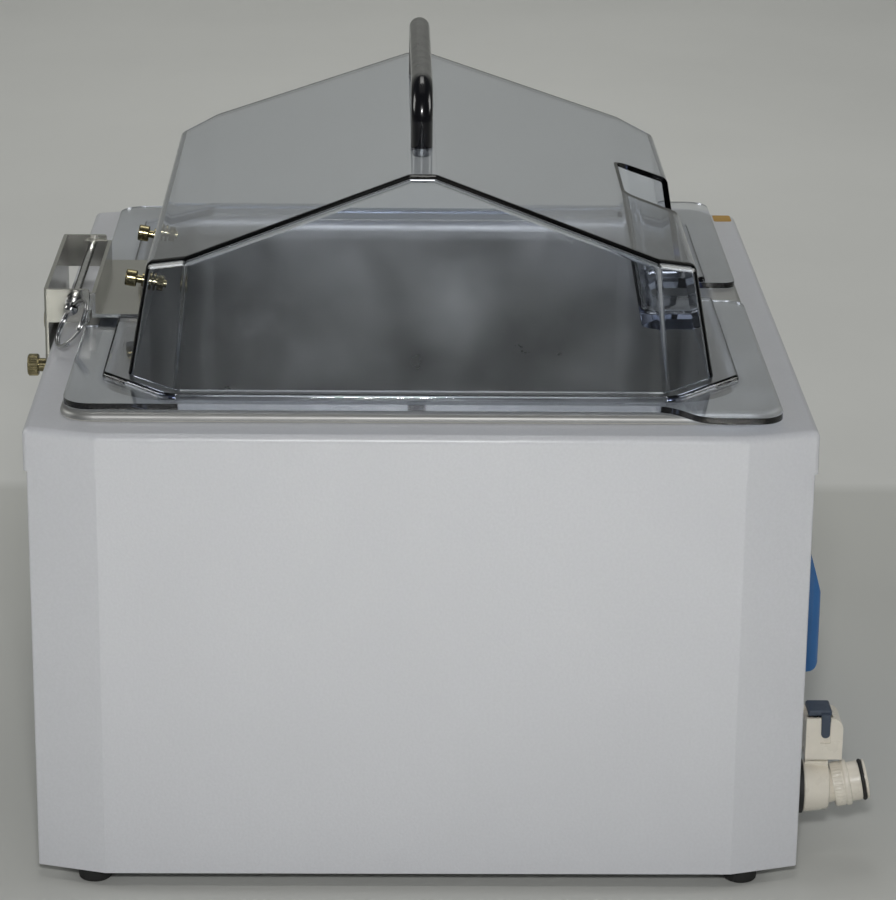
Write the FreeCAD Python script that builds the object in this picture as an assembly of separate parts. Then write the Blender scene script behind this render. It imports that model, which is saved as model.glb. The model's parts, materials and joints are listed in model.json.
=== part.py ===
import FreeCAD, Part
import math
import os
from FreeCAD import Vector

# A bench-top laboratory water bath with a hinged clear gable lid.
# Everything is drawn about the centre of the casing, with z = 0 at the casing's bottom
# edge, the front towards -Y and the left side towards -X. save() then moves each piece
# so that the origin is the centre of the whole object's footprint, on the bench.
# All sizes are in millimetres.

# ---- casing ----
CASE_HALF_X = 210.0
CASE_HALF_Y = 184.0
FACET_RUN = 34.0
FACET_SET = 10.5
SHEET = 1.2
COVER_TOP = 221.0
SEAM = 200.0
COVER_GAP = 0.2
CASE_INSET = SHEET + COVER_GAP
CASE_TOP = 214.0
FLOOR_LEDGE = 38.0
FRONT_FACE = -(CASE_HALF_Y - CASE_INSET)
REAR_FACE = -FRONT_FACE
FOOT_HEIGHT = 8.0
FOOT_X = 194.4
FOOT_Y = 155.8
BASE_TOP = 2.8

# ---- tank ----
TANK_HALF_X = 171.0
TANK_HALF_Y = 149.0
TANK_CORNER = 34.0
TANK_SHEET = 1.0
TANK_FLOOR = 76.0
RIM_TOP = 225.0
RIM_UNDER = 221.8
RIM_HALF_X = 190.5
RIM_HALF_Y = 168.5
RIM_CORNER = 16.0
LIP_RADIUS = 7.0

# ---- lid ----
LID_SHEET = 3.0
LID_UNDER = RIM_TOP + 0.3
LID_TOP = LID_UNDER + LID_SHEET
FLANGE_HALF_X = 185.0
FLANGE_HALF_Y = 167.2
EAR_HALF_X = 203.0
EAR_INNER_Y = -114.5
EAR_OUTER_Y = -130.0
DOME_HALF_X = 171.5
DOME_HALF_Y = 139.4
DOME_CHAMFER_X = 24.8
DOME_CHAMFER_Y = 24.2
CHAMFER_TAPER = 0.00405
GABLE_DRAFT = 0.28
WALL_DRAFT = 0.174
ROOF_SLOPE = 0.358
RIDGE_HALF = 6.2
RIDGE_RISE = 98.8
RIDGE_TOP = LID_TOP + RIDGE_RISE
SHOULDER_HALF_X = 178.5
SHOULDER_HALF_Y = 151.5
SHOULDER_CORNER_X = 143.5
SHOULDER_CORNER_Y = 119.6
SHOULDER_TOP = LID_TOP + 2.4
RECESS_HALF_LOW = 45.0
RECESS_HALF_HIGH = 34.0
RECESS_BACK_LOW = -115.0
RECESS_BACK_HIGH = -103.0
RECESS_HIGH_Z = 292.0
RECESS_CORNER = 6.0
RECESS_FOOT = 5.0
SLOT_LEFT = -5.0
SLOT_RIGHT = 29.0
SLOT_BACK = -120.0

# ---- handle ----
HANDLE_HALF = 84.0
HANDLE_RADIUS = 5.3
HANDLE_AXIS_Z = RIDGE_TOP + 28.0
HANDLE_BEND = 15.0

# ---- hinge ----
PIN_Y = 173.0
PIN_Z = 240.0
PIN_RADIUS = 2.0
RUNNING_GAP = 0.05
EAR_OUTER_X = 54.3
EAR_SHEET = 2.0
BRACKET_FRONT = 165.2
BRACKET_BACK = 187.8
BRACKET_LOW = 190.0
BRACKET_EAR_LOW = 229.0
BRACKET_TOP = 246.0
LEAF_SHEET = 1.8
LEAF_HALF_X = 51.8
LEAF_REAR = 164.2
LEAF_TOP = 243.5
LEAF_LOW = SHOULDER_TOP + 0.2
BOLT_X = 44.0
BOLT_Z = 248.0
SCREW_X = 42.0
SCREW_Z = 203.0
SCREW_RADIUS = 2.5
KNURL_COUNT = 32
KNOB_X = -68.0
KNOB_RADIUS = 3.5
RING_RADIUS = 12.2
RING_WIRE = 1.1

# ---- front controls ----
HOUSING_HALF_X = 100.0
HOUSING_WALL = 2.5
HOUSING_LOW = 58.5
HOUSING_TOP = 171.5
HOUSING_KNEE_Z = 101.5
HOUSING_FRONT = -202.6
SLOPE_TOP_Y = FRONT_FACE - 0.3
SLOPE_ANGLE = math.degrees(math.atan2(SLOPE_TOP_Y - HOUSING_FRONT, HOUSING_TOP - HOUSING_KNEE_Z))
SLOPE_CENTRE = Vector(0, (SLOPE_TOP_Y + HOUSING_FRONT) / 2, (HOUSING_TOP + HOUSING_KNEE_Z) / 2)
KEY_RADIUS = 6.5
KEY_SPACING = 26.0
KEY_HEIGHT = -17.0
SWITCH_X = 74.0
SWITCH_Z = 87.0
ROCKER_REST_ANGLE = 8.0

# ---- drain ----
DRAIN_X = -168.0
DRAIN_Z = 28.5
SHANK_RADIUS = 8.0
BARREL_RADIUS = 13.0
BARREL_BACK = -187.3
BARREL_FRONT = -200.0
SOCKET_RADIUS = 8.5
BORE_RADIUS = 6.0
INSERT_TIP = -221.0
BLOCK_HALF = 9.0
BLOCK_FRONT = -205.2
BLOCK_LOW = 46.2
BLOCK_TOP = 67.6
PAD_HALF = 7.0
PAD_FRONT = -199.8
PAD_BACK = -188.2
PAD_LOW = BLOCK_TOP + 0.2
PAD_TOP = BLOCK_TOP + 3.4
PAD_TRAVEL = 2.0
PLATE_HALF = 1.2
LATCH_FRONT = -198.8
LATCH_BACK = -194.6
SPRING_Y = -191.4
SPRING_SEAT = BLOCK_TOP - 9.8
# The insert's outer half points a little upwards from the barrel's mouth.
NOSE_TILT = math.radians(11)
NOSE_RADIUS = 9.7
NOSE_EDGE = 0.8
SLEEVE_RADIUS = 10.6
RING_SEAT = 17.2
NOSE_LENGTH = NOSE_EDGE + (BARREL_FRONT - INSERT_TIP - NOSE_EDGE
                           - (NOSE_RADIUS - NOSE_EDGE) * math.sin(NOSE_TILT)) / math.cos(NOSE_TILT)
SPUD_X = -138.0
SPUD_Y = -112.0

# ---- rear inlet ----
INLET_X = 130.0
INLET_Z = 42.0

# The drain's tip is the front-most point and the thumb screws are the rear-most.
SCREW_END = 198.0
CENTRE_SHIFT = -(SCREW_END + INSERT_TIP) / 2

X_AXIS = Vector(1, 0, 0)
Y_AXIS = Vector(0, 1, 0)
Z_AXIS = Vector(0, 0, 1)


def save(name, shape):
    placed = shape.copy()
    placed.translate(Vector(0, CENTRE_SHIFT, FOOT_HEIGHT))
    placed.exportStep("parts/" + name + ".step")


def box(x0, x1, y0, y1, z0, z1):
    return Part.makeBox(x1 - x0, y1 - y0, z1 - z0, Vector(x0, y0, z0))


def rod(radius, start, end):
    axis = end.sub(start)
    return Part.makeCylinder(radius, axis.Length, start, axis)


def group(shapes):
    return Part.makeCompound(shapes)


def fuse(shapes):
    return shapes[0].multiFuse(shapes[1:]).removeSplitter()


def cut_all(body, tools):
    for tool in tools:
        body = body.cut(tool)
    return body


def polygon_face(points):
    return Part.Face(Part.makePolygon(points + [points[0]]))


def rounded_block(half_x, half_y, radius, z0, z1):
    block = box(-half_x, half_x, -half_y, half_y, z0, z1)
    return block.makeFillet(radius, upright_edges(block))


def upright_edges(shape):
    return [e for e in shape.Edges if abs(e.tangentAt(e.FirstParameter).z) > 0.9]


def edges_at_height(shape, height):
    return [e for e in shape.Edges if all(abs(v.Z - height) < 0.01 for v in e.Vertexes)]


def hex_prism(across_flats, start, axis, length):
    radius = across_flats / math.sqrt(3)
    flat = Part.makePolygon([
        Vector(radius * math.cos(math.radians(60 * i)), radius * math.sin(math.radians(60 * i)), 0)
        for i in range(7)
    ])
    prism = Part.Face(flat).extrude(Vector(0, 0, length))
    prism.Placement = FreeCAD.Placement(start, FreeCAD.Rotation(Z_AXIS, axis))
    return prism


def four_corners(shape):
    copies = []
    for sign_x in (-1, 1):
        for sign_y in (-1, 1):
            piece = shape.copy()
            piece.translate(Vector(sign_x * FOOT_X, sign_y * FOOT_Y, 0))
            copies.append(piece)
    return group(copies)


def left_and_right(shape, offset):
    left = shape.copy()
    left.translate(Vector(-offset, 0, 0))
    right = shape.copy()
    right.translate(Vector(offset, 0, 0))
    return group([left, right])


def bent_path(points):
    """Straight runs joined by tangent arcs as large as the shorter run allows."""
    edges = []
    start = points[0]
    for before, corner, after in zip(points, points[1:], points[2:]):
        into = corner.sub(before)
        out = after.sub(corner)
        trim = 0.45 * min(into.Length, out.Length)
        into.normalize()
        out.normalize()
        arc_start = corner.sub(Vector(into).multiply(trim))
        arc_end = corner.add(Vector(out).multiply(trim))
        half_turn = into.getAngle(out) / 2
        radius = trim / math.tan(half_turn)
        inward = out.sub(into)
        inward.normalize()
        middle = corner.add(inward.multiply(radius / math.cos(half_turn) - radius))
        edges.append(Part.LineSegment(start, arc_start).toShape())
        edges.append(Part.Arc(arc_start, middle, arc_end).toShape())
        start = arc_end
    edges.append(Part.LineSegment(start, points[-1]).toShape())
    return Part.Wire(edges)


def tube(points, radius):
    path = bent_path(points)
    direction = points[1].sub(points[0])
    ring = Part.Wire(Part.Circle(points[0], direction, radius).toShape())
    return path.makePipeShell([ring], True, False)


# ---------------------------------------------------------------- casing

def plan_face(inset, z):
    """Casing outline with its four shallow corner facets, moved in by inset."""
    slope = math.hypot(FACET_RUN, FACET_SET)
    half_x = CASE_HALF_X - inset
    half_y = CASE_HALF_Y - inset
    reach = FACET_RUN * CASE_HALF_X + FACET_SET * (CASE_HALF_Y - FACET_RUN) - inset * slope
    side_y = (reach - FACET_RUN * half_x) / FACET_SET
    face_x = (reach - FACET_SET * half_y) / FACET_RUN
    corner = [(half_x, side_y), (face_x, half_y)]
    mirrored = [(-x, y) for x, y in reversed(corner)]
    upper = corner + mirrored
    lower = [(-x, -y) for x, y in upper]
    return polygon_face([Vector(x, y, z) for x, y in upper + lower])


def plan_block(inset, z0, z1):
    return plan_face(inset, z0).extrude(Vector(0, 0, z1 - z0))


def screw_hole(x, z, radius):
    return rod(radius, Vector(x, REAR_FACE - 12, z), Vector(x, REAR_FACE + 12, z))


def lower_casing():
    walls = plan_block(CASE_INSET, 0, CASE_TOP)
    uprights = [e for e in walls.Edges if abs(e.tangentAt(e.FirstParameter).z) > 0.9]
    walls = walls.makeFillet(1.5, uprights)
    inside = plan_block(CASE_INSET + SHEET, SHEET, CASE_TOP + 1)
    floor_hole = plan_block(CASE_INSET + FLOOR_LEDGE, -1, SHEET + 1)
    aperture = box(-90, 90, FRONT_FACE - 5, FRONT_FACE + 5, 72, 162)
    drain_hole = rod(SHANK_RADIUS + 0.1, Vector(DRAIN_X, FRONT_FACE - 5, DRAIN_Z),
                     Vector(DRAIN_X, FRONT_FACE + 5, DRAIN_Z))
    inlet_hole = box(INLET_X - 14, INLET_X + 14, REAR_FACE - 5, REAR_FACE + 5,
                     INLET_Z - 10.5, INLET_Z + 10.5)
    tools = [inside, floor_hole, aperture, drain_hole, inlet_hole]
    tools += [screw_hole(x, SCREW_Z, SCREW_RADIUS + 0.4) for x in (-SCREW_X, SCREW_X)]
    tools += [rod(2.2, Vector(x, y, -1), Vector(x, y, 5))
              for x in (-FOOT_X, FOOT_X) for y in (-FOOT_Y, FOOT_Y)]
    tools += [screw_hole(INLET_X + side * 20, INLET_Z, 1.7) for side in (-1, 1)]
    tools += [rod(1.6, Vector(x, FRONT_FACE - 5, z), Vector(x, FRONT_FACE + 5, z))
              for x, z in housing_screw_places()]
    return cut_all(walls, tools)


def top_cover():
    cap = plan_block(0, SEAM, COVER_TOP)
    uprights = [e for e in cap.Edges if abs(e.tangentAt(e.FirstParameter).z) > 0.9]
    cap = cap.makeFillet(3.0, uprights)
    cap = cap.makeFillet(3.5, edges_at_height(cap, COVER_TOP))
    hollow = plan_block(SHEET, SEAM - 1, COVER_TOP - SHEET)
    hollow = hollow.makeFillet(2.4, edges_at_height(hollow, COVER_TOP - SHEET))
    opening = rounded_block(RIM_HALF_X - 9, RIM_HALF_Y - 9, 30, COVER_TOP - 5, COVER_TOP + 5)
    tools = [hollow, opening]
    tools += [screw_hole(x, SCREW_Z, SCREW_RADIUS + 0.4) for x in (-SCREW_X, SCREW_X)]
    return cut_all(cap, tools)


def base_plate():
    plate = plan_block(CASE_INSET + SHEET + 0.5, SHEET + 0.1, BASE_TOP)
    vents = []
    for column in range(9):
        x = -120 + column * 30
        for y in (-70, 70):
            slot = box(x - 2.5, x + 2.5, y - 30, y + 30, 0, 5)
            uprights = [e for e in slot.Edges if abs(e.tangentAt(e.FirstParameter).z) > 0.9]
            vents.append(slot.makeFillet(2.4, uprights))
    holes = [rod(2.2, Vector(x, y, -1), Vector(x, y, 5))
             for x in (-FOOT_X, FOOT_X) for y in (-FOOT_Y, FOOT_Y)]
    return cut_all(plate, vents + holes)


def feet():
    pad = Part.makeCone(7.8, 8.6, FOOT_HEIGHT, Vector(0, 0, -FOOT_HEIGHT))
    pad = pad.makeFillet(1.2, edges_at_height(pad, -FOOT_HEIGHT))
    recess = rod(4.2, Vector(0, 0, -FOOT_HEIGHT - 1), Vector(0, 0, -FOOT_HEIGHT + 4))
    hole = rod(2.1, Vector(0, 0, -FOOT_HEIGHT), Vector(0, 0, 1))
    return four_corners(pad.cut(recess).cut(hole))


def feet_screws():
    head_low = -FOOT_HEIGHT + 1.4
    head = rod(3.7, Vector(0, 0, head_low), Vector(0, 0, head_low + 2.6))
    shank = rod(2.0, Vector(0, 0, head_low + 2.6), Vector(0, 0, 9))
    drive = hex_prism(2.5, Vector(0, 0, head_low - 0.1), Z_AXIS, 1.5)
    return four_corners(fuse([head, shank]).cut(drive))


def feet_nuts():
    nut = hex_prism(7.0, Vector(0, 0, BASE_TOP), Z_AXIS, 3.2)
    return four_corners(nut.cut(rod(2.02, Vector(0, 0, 0), Vector(0, 0, 9))))


def cover_patch():
    patch = box(186, 199, -181, -171, COVER_TOP, COVER_TOP + 0.25)
    uprights = [e for e in patch.Edges if abs(e.tangentAt(e.FirstParameter).z) > 0.9]
    return patch.makeFillet(1.5, uprights)


# ---------------------------------------------------------------- tank

def tank():
    outer = rounded_block(TANK_HALF_X + TANK_SHEET, TANK_HALF_Y + TANK_SHEET,
                          TANK_CORNER + TANK_SHEET, TANK_FLOOR - TANK_SHEET, RIM_TOP)
    outer = outer.makeFillet(16, edges_at_height(outer, TANK_FLOOR - TANK_SHEET))
    rim = rounded_block(RIM_HALF_X, RIM_HALF_Y, RIM_CORNER, RIM_UNDER, RIM_TOP)
    rim = rim.makeFillet(2.6, edges_at_height(rim, RIM_TOP))
    groove = rounded_block(RIM_HALF_X - 1.2, RIM_HALF_Y - 1.2, RIM_CORNER - 1.2,
                           RIM_UNDER - 1, RIM_TOP - 1.2)
    land = rounded_block(TANK_HALF_X + 8, TANK_HALF_Y + 8, TANK_CORNER + 8,
                         COVER_TOP - SHEET, RIM_TOP)
    rim = rim.cut(groove)
    inner = rounded_block(TANK_HALF_X, TANK_HALF_Y, TANK_CORNER, TANK_FLOOR, RIM_TOP + 1)
    inner = inner.makeFillet(15, edges_at_height(inner, TANK_FLOOR))
    body = fuse([outer, rim, land]).cut(inner)
    lip = [e for e in edges_at_height(body, RIM_TOP)
           if abs(e.CenterOfMass.x) < TANK_HALF_X + 1 and abs(e.CenterOfMass.y) < TANK_HALF_Y + 1]
    body = body.makeFillet(LIP_RADIUS, lip)
    spud_hole = rod(9.1, Vector(SPUD_X, SPUD_Y, TANK_FLOOR - 5), Vector(SPUD_X, SPUD_Y, TANK_FLOOR + 5))
    return body.cut(spud_hole)


def rim_seal():
    outer = rounded_block(RIM_HALF_X - 0.5, RIM_HALF_Y - 0.5, RIM_CORNER - 0.5,
                          COVER_TOP + 0.05, RIM_UNDER - 0.05)
    inner = rounded_block(RIM_HALF_X - 5, RIM_HALF_Y - 5, RIM_CORNER - 5,
                          COVER_TOP - 1, RIM_UNDER + 1)
    return outer.cut(inner)


def tank_clips():
    clips = []
    for side in (-1, 1):
        for y in (-80, 80):
            wall = side * (TANK_HALF_X + TANK_SHEET + 0.1)
            tip = side * (TANK_HALF_X + 16)
            x0, x1 = sorted((wall, tip))
            arm = box(x0, x1, y - 10, y + 10, COVER_TOP - SHEET - 1.6, COVER_TOP - SHEET - 0.1)
            x0, x1 = sorted((wall, wall + side * 1.5))
            leg = box(x0, x1, y - 10, y + 10, COVER_TOP - 11, COVER_TOP - SHEET - 0.1)
            clips.append(fuse([arm, leg]))
    return group(clips)


def tank_insulation():
    outer = rounded_block(TANK_HALF_X + 11, TANK_HALF_Y + 11, TANK_CORNER + 11, 94, 208)
    inner = rounded_block(TANK_HALF_X + 1.5, TANK_HALF_Y + 1.5, TANK_CORNER + 1.5, 90, 212)
    return outer.cut(inner)


def heater_mat():
    mat = rounded_block(140, 118, 20, TANK_FLOOR - 4, TANK_FLOOR - TANK_SHEET - 0.1)
    spud_clear = rod(20, Vector(SPUD_X, SPUD_Y, 60), Vector(SPUD_X, SPUD_Y, 80))
    probe_clear = box(-14, 14, -60, 10, 60, 80)
    cutout_clear = rod(12, Vector(60, 40, 60), Vector(60, 40, 80))
    return cut_all(mat, [spud_clear, probe_clear, cutout_clear])


def temperature_probe():
    return rod(2.5, Vector(0, -36, TANK_FLOOR - 3.7), Vector(0, 0, TANK_FLOOR - 3.7))


def probe_clip():
    strap = box(-9, 9, -22, -12, TANK_FLOOR - 7.6, TANK_FLOOR - 1.2)
    room = rod(2.6, Vector(0, -40, TANK_FLOOR - 3.7), Vector(0, 10, TANK_FLOOR - 3.7))
    return strap.cut(room)


def overheat_cutout():
    can = rod(9, Vector(60, 40, TANK_FLOOR - 12), Vector(60, 40, TANK_FLOOR - 1.2))
    tabs = [box(60 + s * 4 - 0.4, 60 + s * 4 + 0.4, 37, 43, TANK_FLOOR - 20, TANK_FLOOR - 12)
            for s in (-1, 1)]
    return fuse([can] + tabs)


# ---------------------------------------------------------------- drain

def along_drain(radius, start, end):
    return rod(radius, Vector(DRAIN_X, start, DRAIN_Z), Vector(DRAIN_X, end, DRAIN_Z))


def drain_spud():
    top = Vector(SPUD_X, SPUD_Y, TANK_FLOOR + 2)
    flange = rod(14, Vector(SPUD_X, SPUD_Y, TANK_FLOOR + 0.1), top)
    stem = rod(9, Vector(SPUD_X, SPUD_Y, 62), top)
    tail = rod(5.9, Vector(SPUD_X, SPUD_Y, 44), top)
    bore = rod(4, Vector(SPUD_X, SPUD_Y, 40), Vector(SPUD_X, SPUD_Y, 90))
    return fuse([flange, stem, tail]).cut(bore)


def drain_nut():
    nut = hex_prism(26, Vector(SPUD_X, SPUD_Y, 67), Z_AXIS, TANK_FLOOR - TANK_SHEET - 67.1)
    return nut.cut(rod(9.05, Vector(SPUD_X, SPUD_Y, 60), Vector(SPUD_X, SPUD_Y, 80)))


def hose_route():
    return [
        Vector(SPUD_X, SPUD_Y, 61),
        Vector(SPUD_X, SPUD_Y, DRAIN_Z),
        Vector(DRAIN_X, SPUD_Y - 16, DRAIN_Z),
        Vector(DRAIN_X, -164, DRAIN_Z),
    ]


def drain_hose():
    return tube(hose_route(), 8.0).cut(tube(hose_route(), 6.0))


def hose_clamps():
    upper = rod(9.6, Vector(SPUD_X, SPUD_Y, 49), Vector(SPUD_X, SPUD_Y, 57))
    upper = upper.cut(rod(8.05, Vector(SPUD_X, SPUD_Y, 40), Vector(SPUD_X, SPUD_Y, 70)))
    lower = along_drain(9.6, -160, -152).cut(along_drain(8.05, -170, -140))
    return group([upper, lower])


def drain_gasket():
    return along_drain(13.4, FRONT_FACE - 0.1, BARREL_BACK + 0.1).cut(
        along_drain(SHANK_RADIUS + 0.1, FRONT_FACE + 5, BARREL_BACK - 5))


def across_drain(half_width, y0, y1, z0, z1):
    return box(DRAIN_X - half_width, DRAIN_X + half_width, y0, y1, z0, z1)


def latch_block():
    """Upright housing over the barrel, open at the top for the latch's pad and plate."""
    block = across_drain(BLOCK_HALF, BLOCK_FRONT, BARREL_BACK, BLOCK_LOW, BLOCK_TOP)
    brow = [e for e in edges_at_height(block, BLOCK_TOP) if e.CenterOfMass.y < BLOCK_FRONT + 1]
    block = block.makeFillet(5.5, brow)
    web = across_drain(PLATE_HALF + 1.5, BARREL_FRONT + 0.6, BARREL_BACK - 1, DRAIN_Z + 9.6, BLOCK_LOW)
    block = block.fuse(web)
    pocket_floor = BLOCK_TOP - PAD_TRAVEL - 0.4
    pocket = across_drain(PAD_HALF + 0.4, PAD_FRONT - 0.4, BARREL_BACK + 1, pocket_floor, BLOCK_TOP + 1)
    plate_slot = across_drain(PLATE_HALF + 0.4, LATCH_FRONT - 0.4, LATCH_BACK + 0.4, DRAIN_Z, BLOCK_TOP + 1)
    spring_well = rod(2.9, Vector(DRAIN_X, SPRING_Y, SPRING_SEAT - 0.2),
                      Vector(DRAIN_X, SPRING_Y, BLOCK_TOP + 1))
    recesses = []
    for side in (-1, 1):
        x0, x1 = sorted((DRAIN_X + side * (BLOCK_HALF - 1.0), DRAIN_X + side * (BLOCK_HALF + 1.0)))
        recesses.append(box(x0, x1, LATCH_FRONT - 0.4, LATCH_BACK + 0.4, BLOCK_TOP - 13, BLOCK_TOP + 1))
        x0, x1 = sorted((DRAIN_X + side * PAD_HALF, DRAIN_X + side * (BLOCK_HALF + 1.0)))
        recesses.append(box(x0, x1, LATCH_FRONT - 0.4, LATCH_BACK + 0.4, BLOCK_TOP - 2.6, BLOCK_TOP + 1))
    return cut_all(block, [pocket, plate_slot, spring_well] + recesses)


def coupling_body():
    shank = along_drain(SHANK_RADIUS, BARREL_BACK, -168)
    spigot = along_drain(5.9, -168, -150)
    barrel = Part.makeCone(BARREL_RADIUS, BARREL_RADIUS - 1.5, BARREL_BACK - BARREL_FRONT,
                           Vector(DRAIN_X, BARREL_BACK, DRAIN_Z), Vector(0, -1, 0))
    barrel = barrel.makeFillet(1.2, [e for e in barrel.Edges if e.Length > 60])
    body = fuse([shank, spigot, barrel, latch_block()])
    water_way = along_drain(4.0, -210, -140)
    socket = along_drain(SOCKET_RADIUS, -210, -189.5)
    plate_way = across_drain(PLATE_HALF + 0.4, LATCH_FRONT - 0.4, LATCH_BACK + 0.4, DRAIN_Z + 8, DRAIN_Z + 20)
    return cut_all(body, [water_way, socket, plate_way])


def coupling_nut():
    start = Vector(DRAIN_X, FRONT_FACE + SHEET + 0.1, DRAIN_Z)
    nut = hex_prism(24, start, Y_AXIS, 6)
    return nut.cut(along_drain(SHANK_RADIUS + 0.02, -190, -150))


def coupling_latch():
    """Thumb pad with a locking plate down its middle and a leg down each side."""
    plate = across_drain(PLATE_HALF, LATCH_FRONT, LATCH_BACK, DRAIN_Z + 11.2, PAD_LOW + 1)
    pad = across_drain(PAD_HALF, PAD_FRONT, PAD_BACK, PAD_LOW, PAD_TOP)
    pad = pad.makeFillet(1.2, pad.Edges)
    pieces = [plate, pad]
    for side in (-1, 1):
        x0, x1 = sorted((DRAIN_X + side * (BLOCK_HALF - 0.7), DRAIN_X + side * (BLOCK_HALF + 0.3)))
        leg = box(x0, x1, LATCH_FRONT, LATCH_BACK, BLOCK_TOP - 10, PAD_LOW + 1.8)
        foot = [e for e in leg.Edges if abs(e.tangentAt(e.FirstParameter).x) > 0.9
                and e.CenterOfMass.z < BLOCK_TOP]
        pieces.append(leg.makeFillet(1.9, foot))
        x0, x1 = sorted((DRAIN_X + side * 5.0, DRAIN_X + side * (BLOCK_HALF + 0.3)))
        pieces.append(box(x0, x1, LATCH_FRONT, LATCH_BACK, PAD_LOW, PAD_LOW + 1.8))
    return fuse(pieces)


def latch_spring():
    wire_radius = 0.35
    coil_radius = 2.2
    height = PAD_LOW - 0.1 - SPRING_SEAT - 2 * wire_radius
    helix = Part.makeHelix(height / 6, height, coil_radius)
    section = Part.Wire(Part.Circle(Vector(coil_radius, 0, 0), Y_AXIS, wire_radius).toShape())
    coil = Part.Wire(helix.Edges).makePipeShell([section], True, True)
    coil.translate(Vector(DRAIN_X, SPRING_Y, SPRING_SEAT + wire_radius))
    return coil


def along_nose(radius, start, end):
    """Rod on the insert's tilted axis, measured outwards from the barrel's mouth."""
    mouth = Vector(DRAIN_X, BARREL_FRONT, DRAIN_Z)
    outward = nose_direction()
    return rod(radius, mouth.add(Vector(outward).multiply(start)), mouth.add(Vector(outward).multiply(end)))


def nose_direction():
    return Vector(0, -math.cos(NOSE_TILT), math.sin(NOSE_TILT))


def drain_insert():
    plug = along_drain(SOCKET_RADIUS - RUNNING_GAP, -190, BARREL_FRONT + 0.4)
    elbow = Part.makeSphere(SOCKET_RADIUS - RUNNING_GAP, Vector(DRAIN_X, BARREL_FRONT, DRAIN_Z))
    sleeve = along_nose(SLEEVE_RADIUS, 2.6, 8.0)
    collar = along_nose(11.3, 7.6, 10.8)
    collar = collar.makeFillet(1.2, [e for e in collar.Edges if e.Length > 40])
    nose = along_nose(NOSE_RADIUS, 10, NOSE_LENGTH)
    nose = nose.makeFillet(NOSE_EDGE, [e for e in nose.Edges if e.Length > 40])
    groove = along_nose(12, RING_SEAT - 1.2, RING_SEAT + 1.2).cut(along_nose(8.5, 15, 20))
    body = fuse([plug, elbow, sleeve, collar, nose]).cut(groove)
    throat = Part.makeSphere(BORE_RADIUS, Vector(DRAIN_X, BARREL_FRONT, DRAIN_Z))
    bores = [along_drain(BORE_RADIUS, -180, BARREL_FRONT), along_nose(BORE_RADIUS, 0, 30)]
    return cut_all(body, bores + [throat])


def insert_o_ring():
    middle = Vector(DRAIN_X, BARREL_FRONT, DRAIN_Z).add(nose_direction().multiply(RING_SEAT))
    return Part.makeTorus(9.25, 0.95, middle, nose_direction()).cut(along_nose(8.6, 14, 22))


# ---------------------------------------------------------------- front controls

def on_slope(shape):
    """Takes a piece drawn on an upright face at the origin to the sloping panel."""
    placed = shape.copy()
    placed.rotate(Vector(0, 0, 0), X_AXIS, -SLOPE_ANGLE)
    placed.translate(SLOPE_CENTRE)
    return placed


def housing_block(inset):
    low = HOUSING_LOW + inset
    front = HOUSING_FRONT + inset
    back = FRONT_FACE - 0.3
    top = HOUSING_TOP - inset * 4
    knee = HOUSING_KNEE_Z - inset * 0.15
    section = [
        Vector(0, back, top),
        Vector(0, front, knee),
        Vector(0, front - inset * 0.02, low + 3),
        Vector(0, back, low - 0.5),
    ]
    half_x = HOUSING_HALF_X - inset
    block = polygon_face(section).extrude(Vector(2 * half_x, 0, 0))
    block.translate(Vector(-half_x, 0, 0))
    return block


def control_housing():
    shell = housing_block(0)
    front_edges = [e for e in shell.Edges if all(v.Y < FRONT_FACE - 5 for v in e.Vertexes)]
    shell = shell.makeFillet(5.0, front_edges)
    hollow = housing_block(HOUSING_WALL)
    hollow = hollow.fuse(box(-88, 88, FRONT_FACE - 4, FRONT_FACE, 72, 150))
    window = on_slope(box(-34, 34, -3, 8, -4, 22))
    keys = [on_slope(rod(KEY_RADIUS + 0.3, Vector(x, -5, KEY_HEIGHT), Vector(x, 8, KEY_HEIGHT)))
            for x in key_places()]
    overlay_bed = on_slope(box(-86, 86, -2, 0.7, -29, 29))
    switch = box(SWITCH_X - 12, SWITCH_X + 12, HOUSING_FRONT - 2, HOUSING_FRONT + 6,
                 SWITCH_Z - 9, SWITCH_Z + 9)
    return cut_all(shell, [hollow, window, overlay_bed, switch] + keys)


def key_places():
    return [-KEY_SPACING, 0.0, KEY_SPACING]


def control_overlay():
    sheet = box(-85.7, 85.7, 0.1, 0.6, -28.7, 28.7)
    corners = [e for e in sheet.Edges if abs(e.tangentAt(e.FirstParameter).y) > 0.9]
    sheet = sheet.makeFillet(3.0, corners)
    window = box(-32, 32, -1, 2, -2, 20)
    keys = [rod(KEY_RADIUS + 0.25, Vector(x, -1, KEY_HEIGHT), Vector(x, 2, KEY_HEIGHT))
            for x in key_places()]
    return on_slope(cut_all(sheet, [window] + keys))


def display_window():
    pane = box(-31.8, 31.8, 0.2, 1.9, -1.8, 19.8)
    corners = [e for e in pane.Edges if abs(e.tangentAt(e.FirstParameter).y) > 0.9]
    return on_slope(pane.makeFillet(1.5, corners))


def display_module():
    return on_slope(box(-30, 30, 2.2, 9, 0, 18))


def control_board():
    board = box(-84, 84, 12, 13.6, -26, 24)
    return on_slope(board)


def key_switches():
    switches = []
    for x in key_places():
        body = box(x - 3, x + 3, 8.4, 11.9, KEY_HEIGHT - 3, KEY_HEIGHT + 3)
        switches.append(on_slope(body))
    return group(switches)


def key(x):
    cap = rod(KEY_RADIUS, Vector(x, -0.9, KEY_HEIGHT), Vector(x, 2.6, KEY_HEIGHT))
    rim = [e for e in cap.Edges if e.Length > 30 and abs(e.CenterOfMass.y + 0.9) < 0.01]
    cap = cap.makeFillet(0.7, rim)
    stem = rod(1.8, Vector(x, 2.6, KEY_HEIGHT), Vector(x, 7.4, KEY_HEIGHT))
    return on_slope(fuse([cap, stem]))


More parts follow.
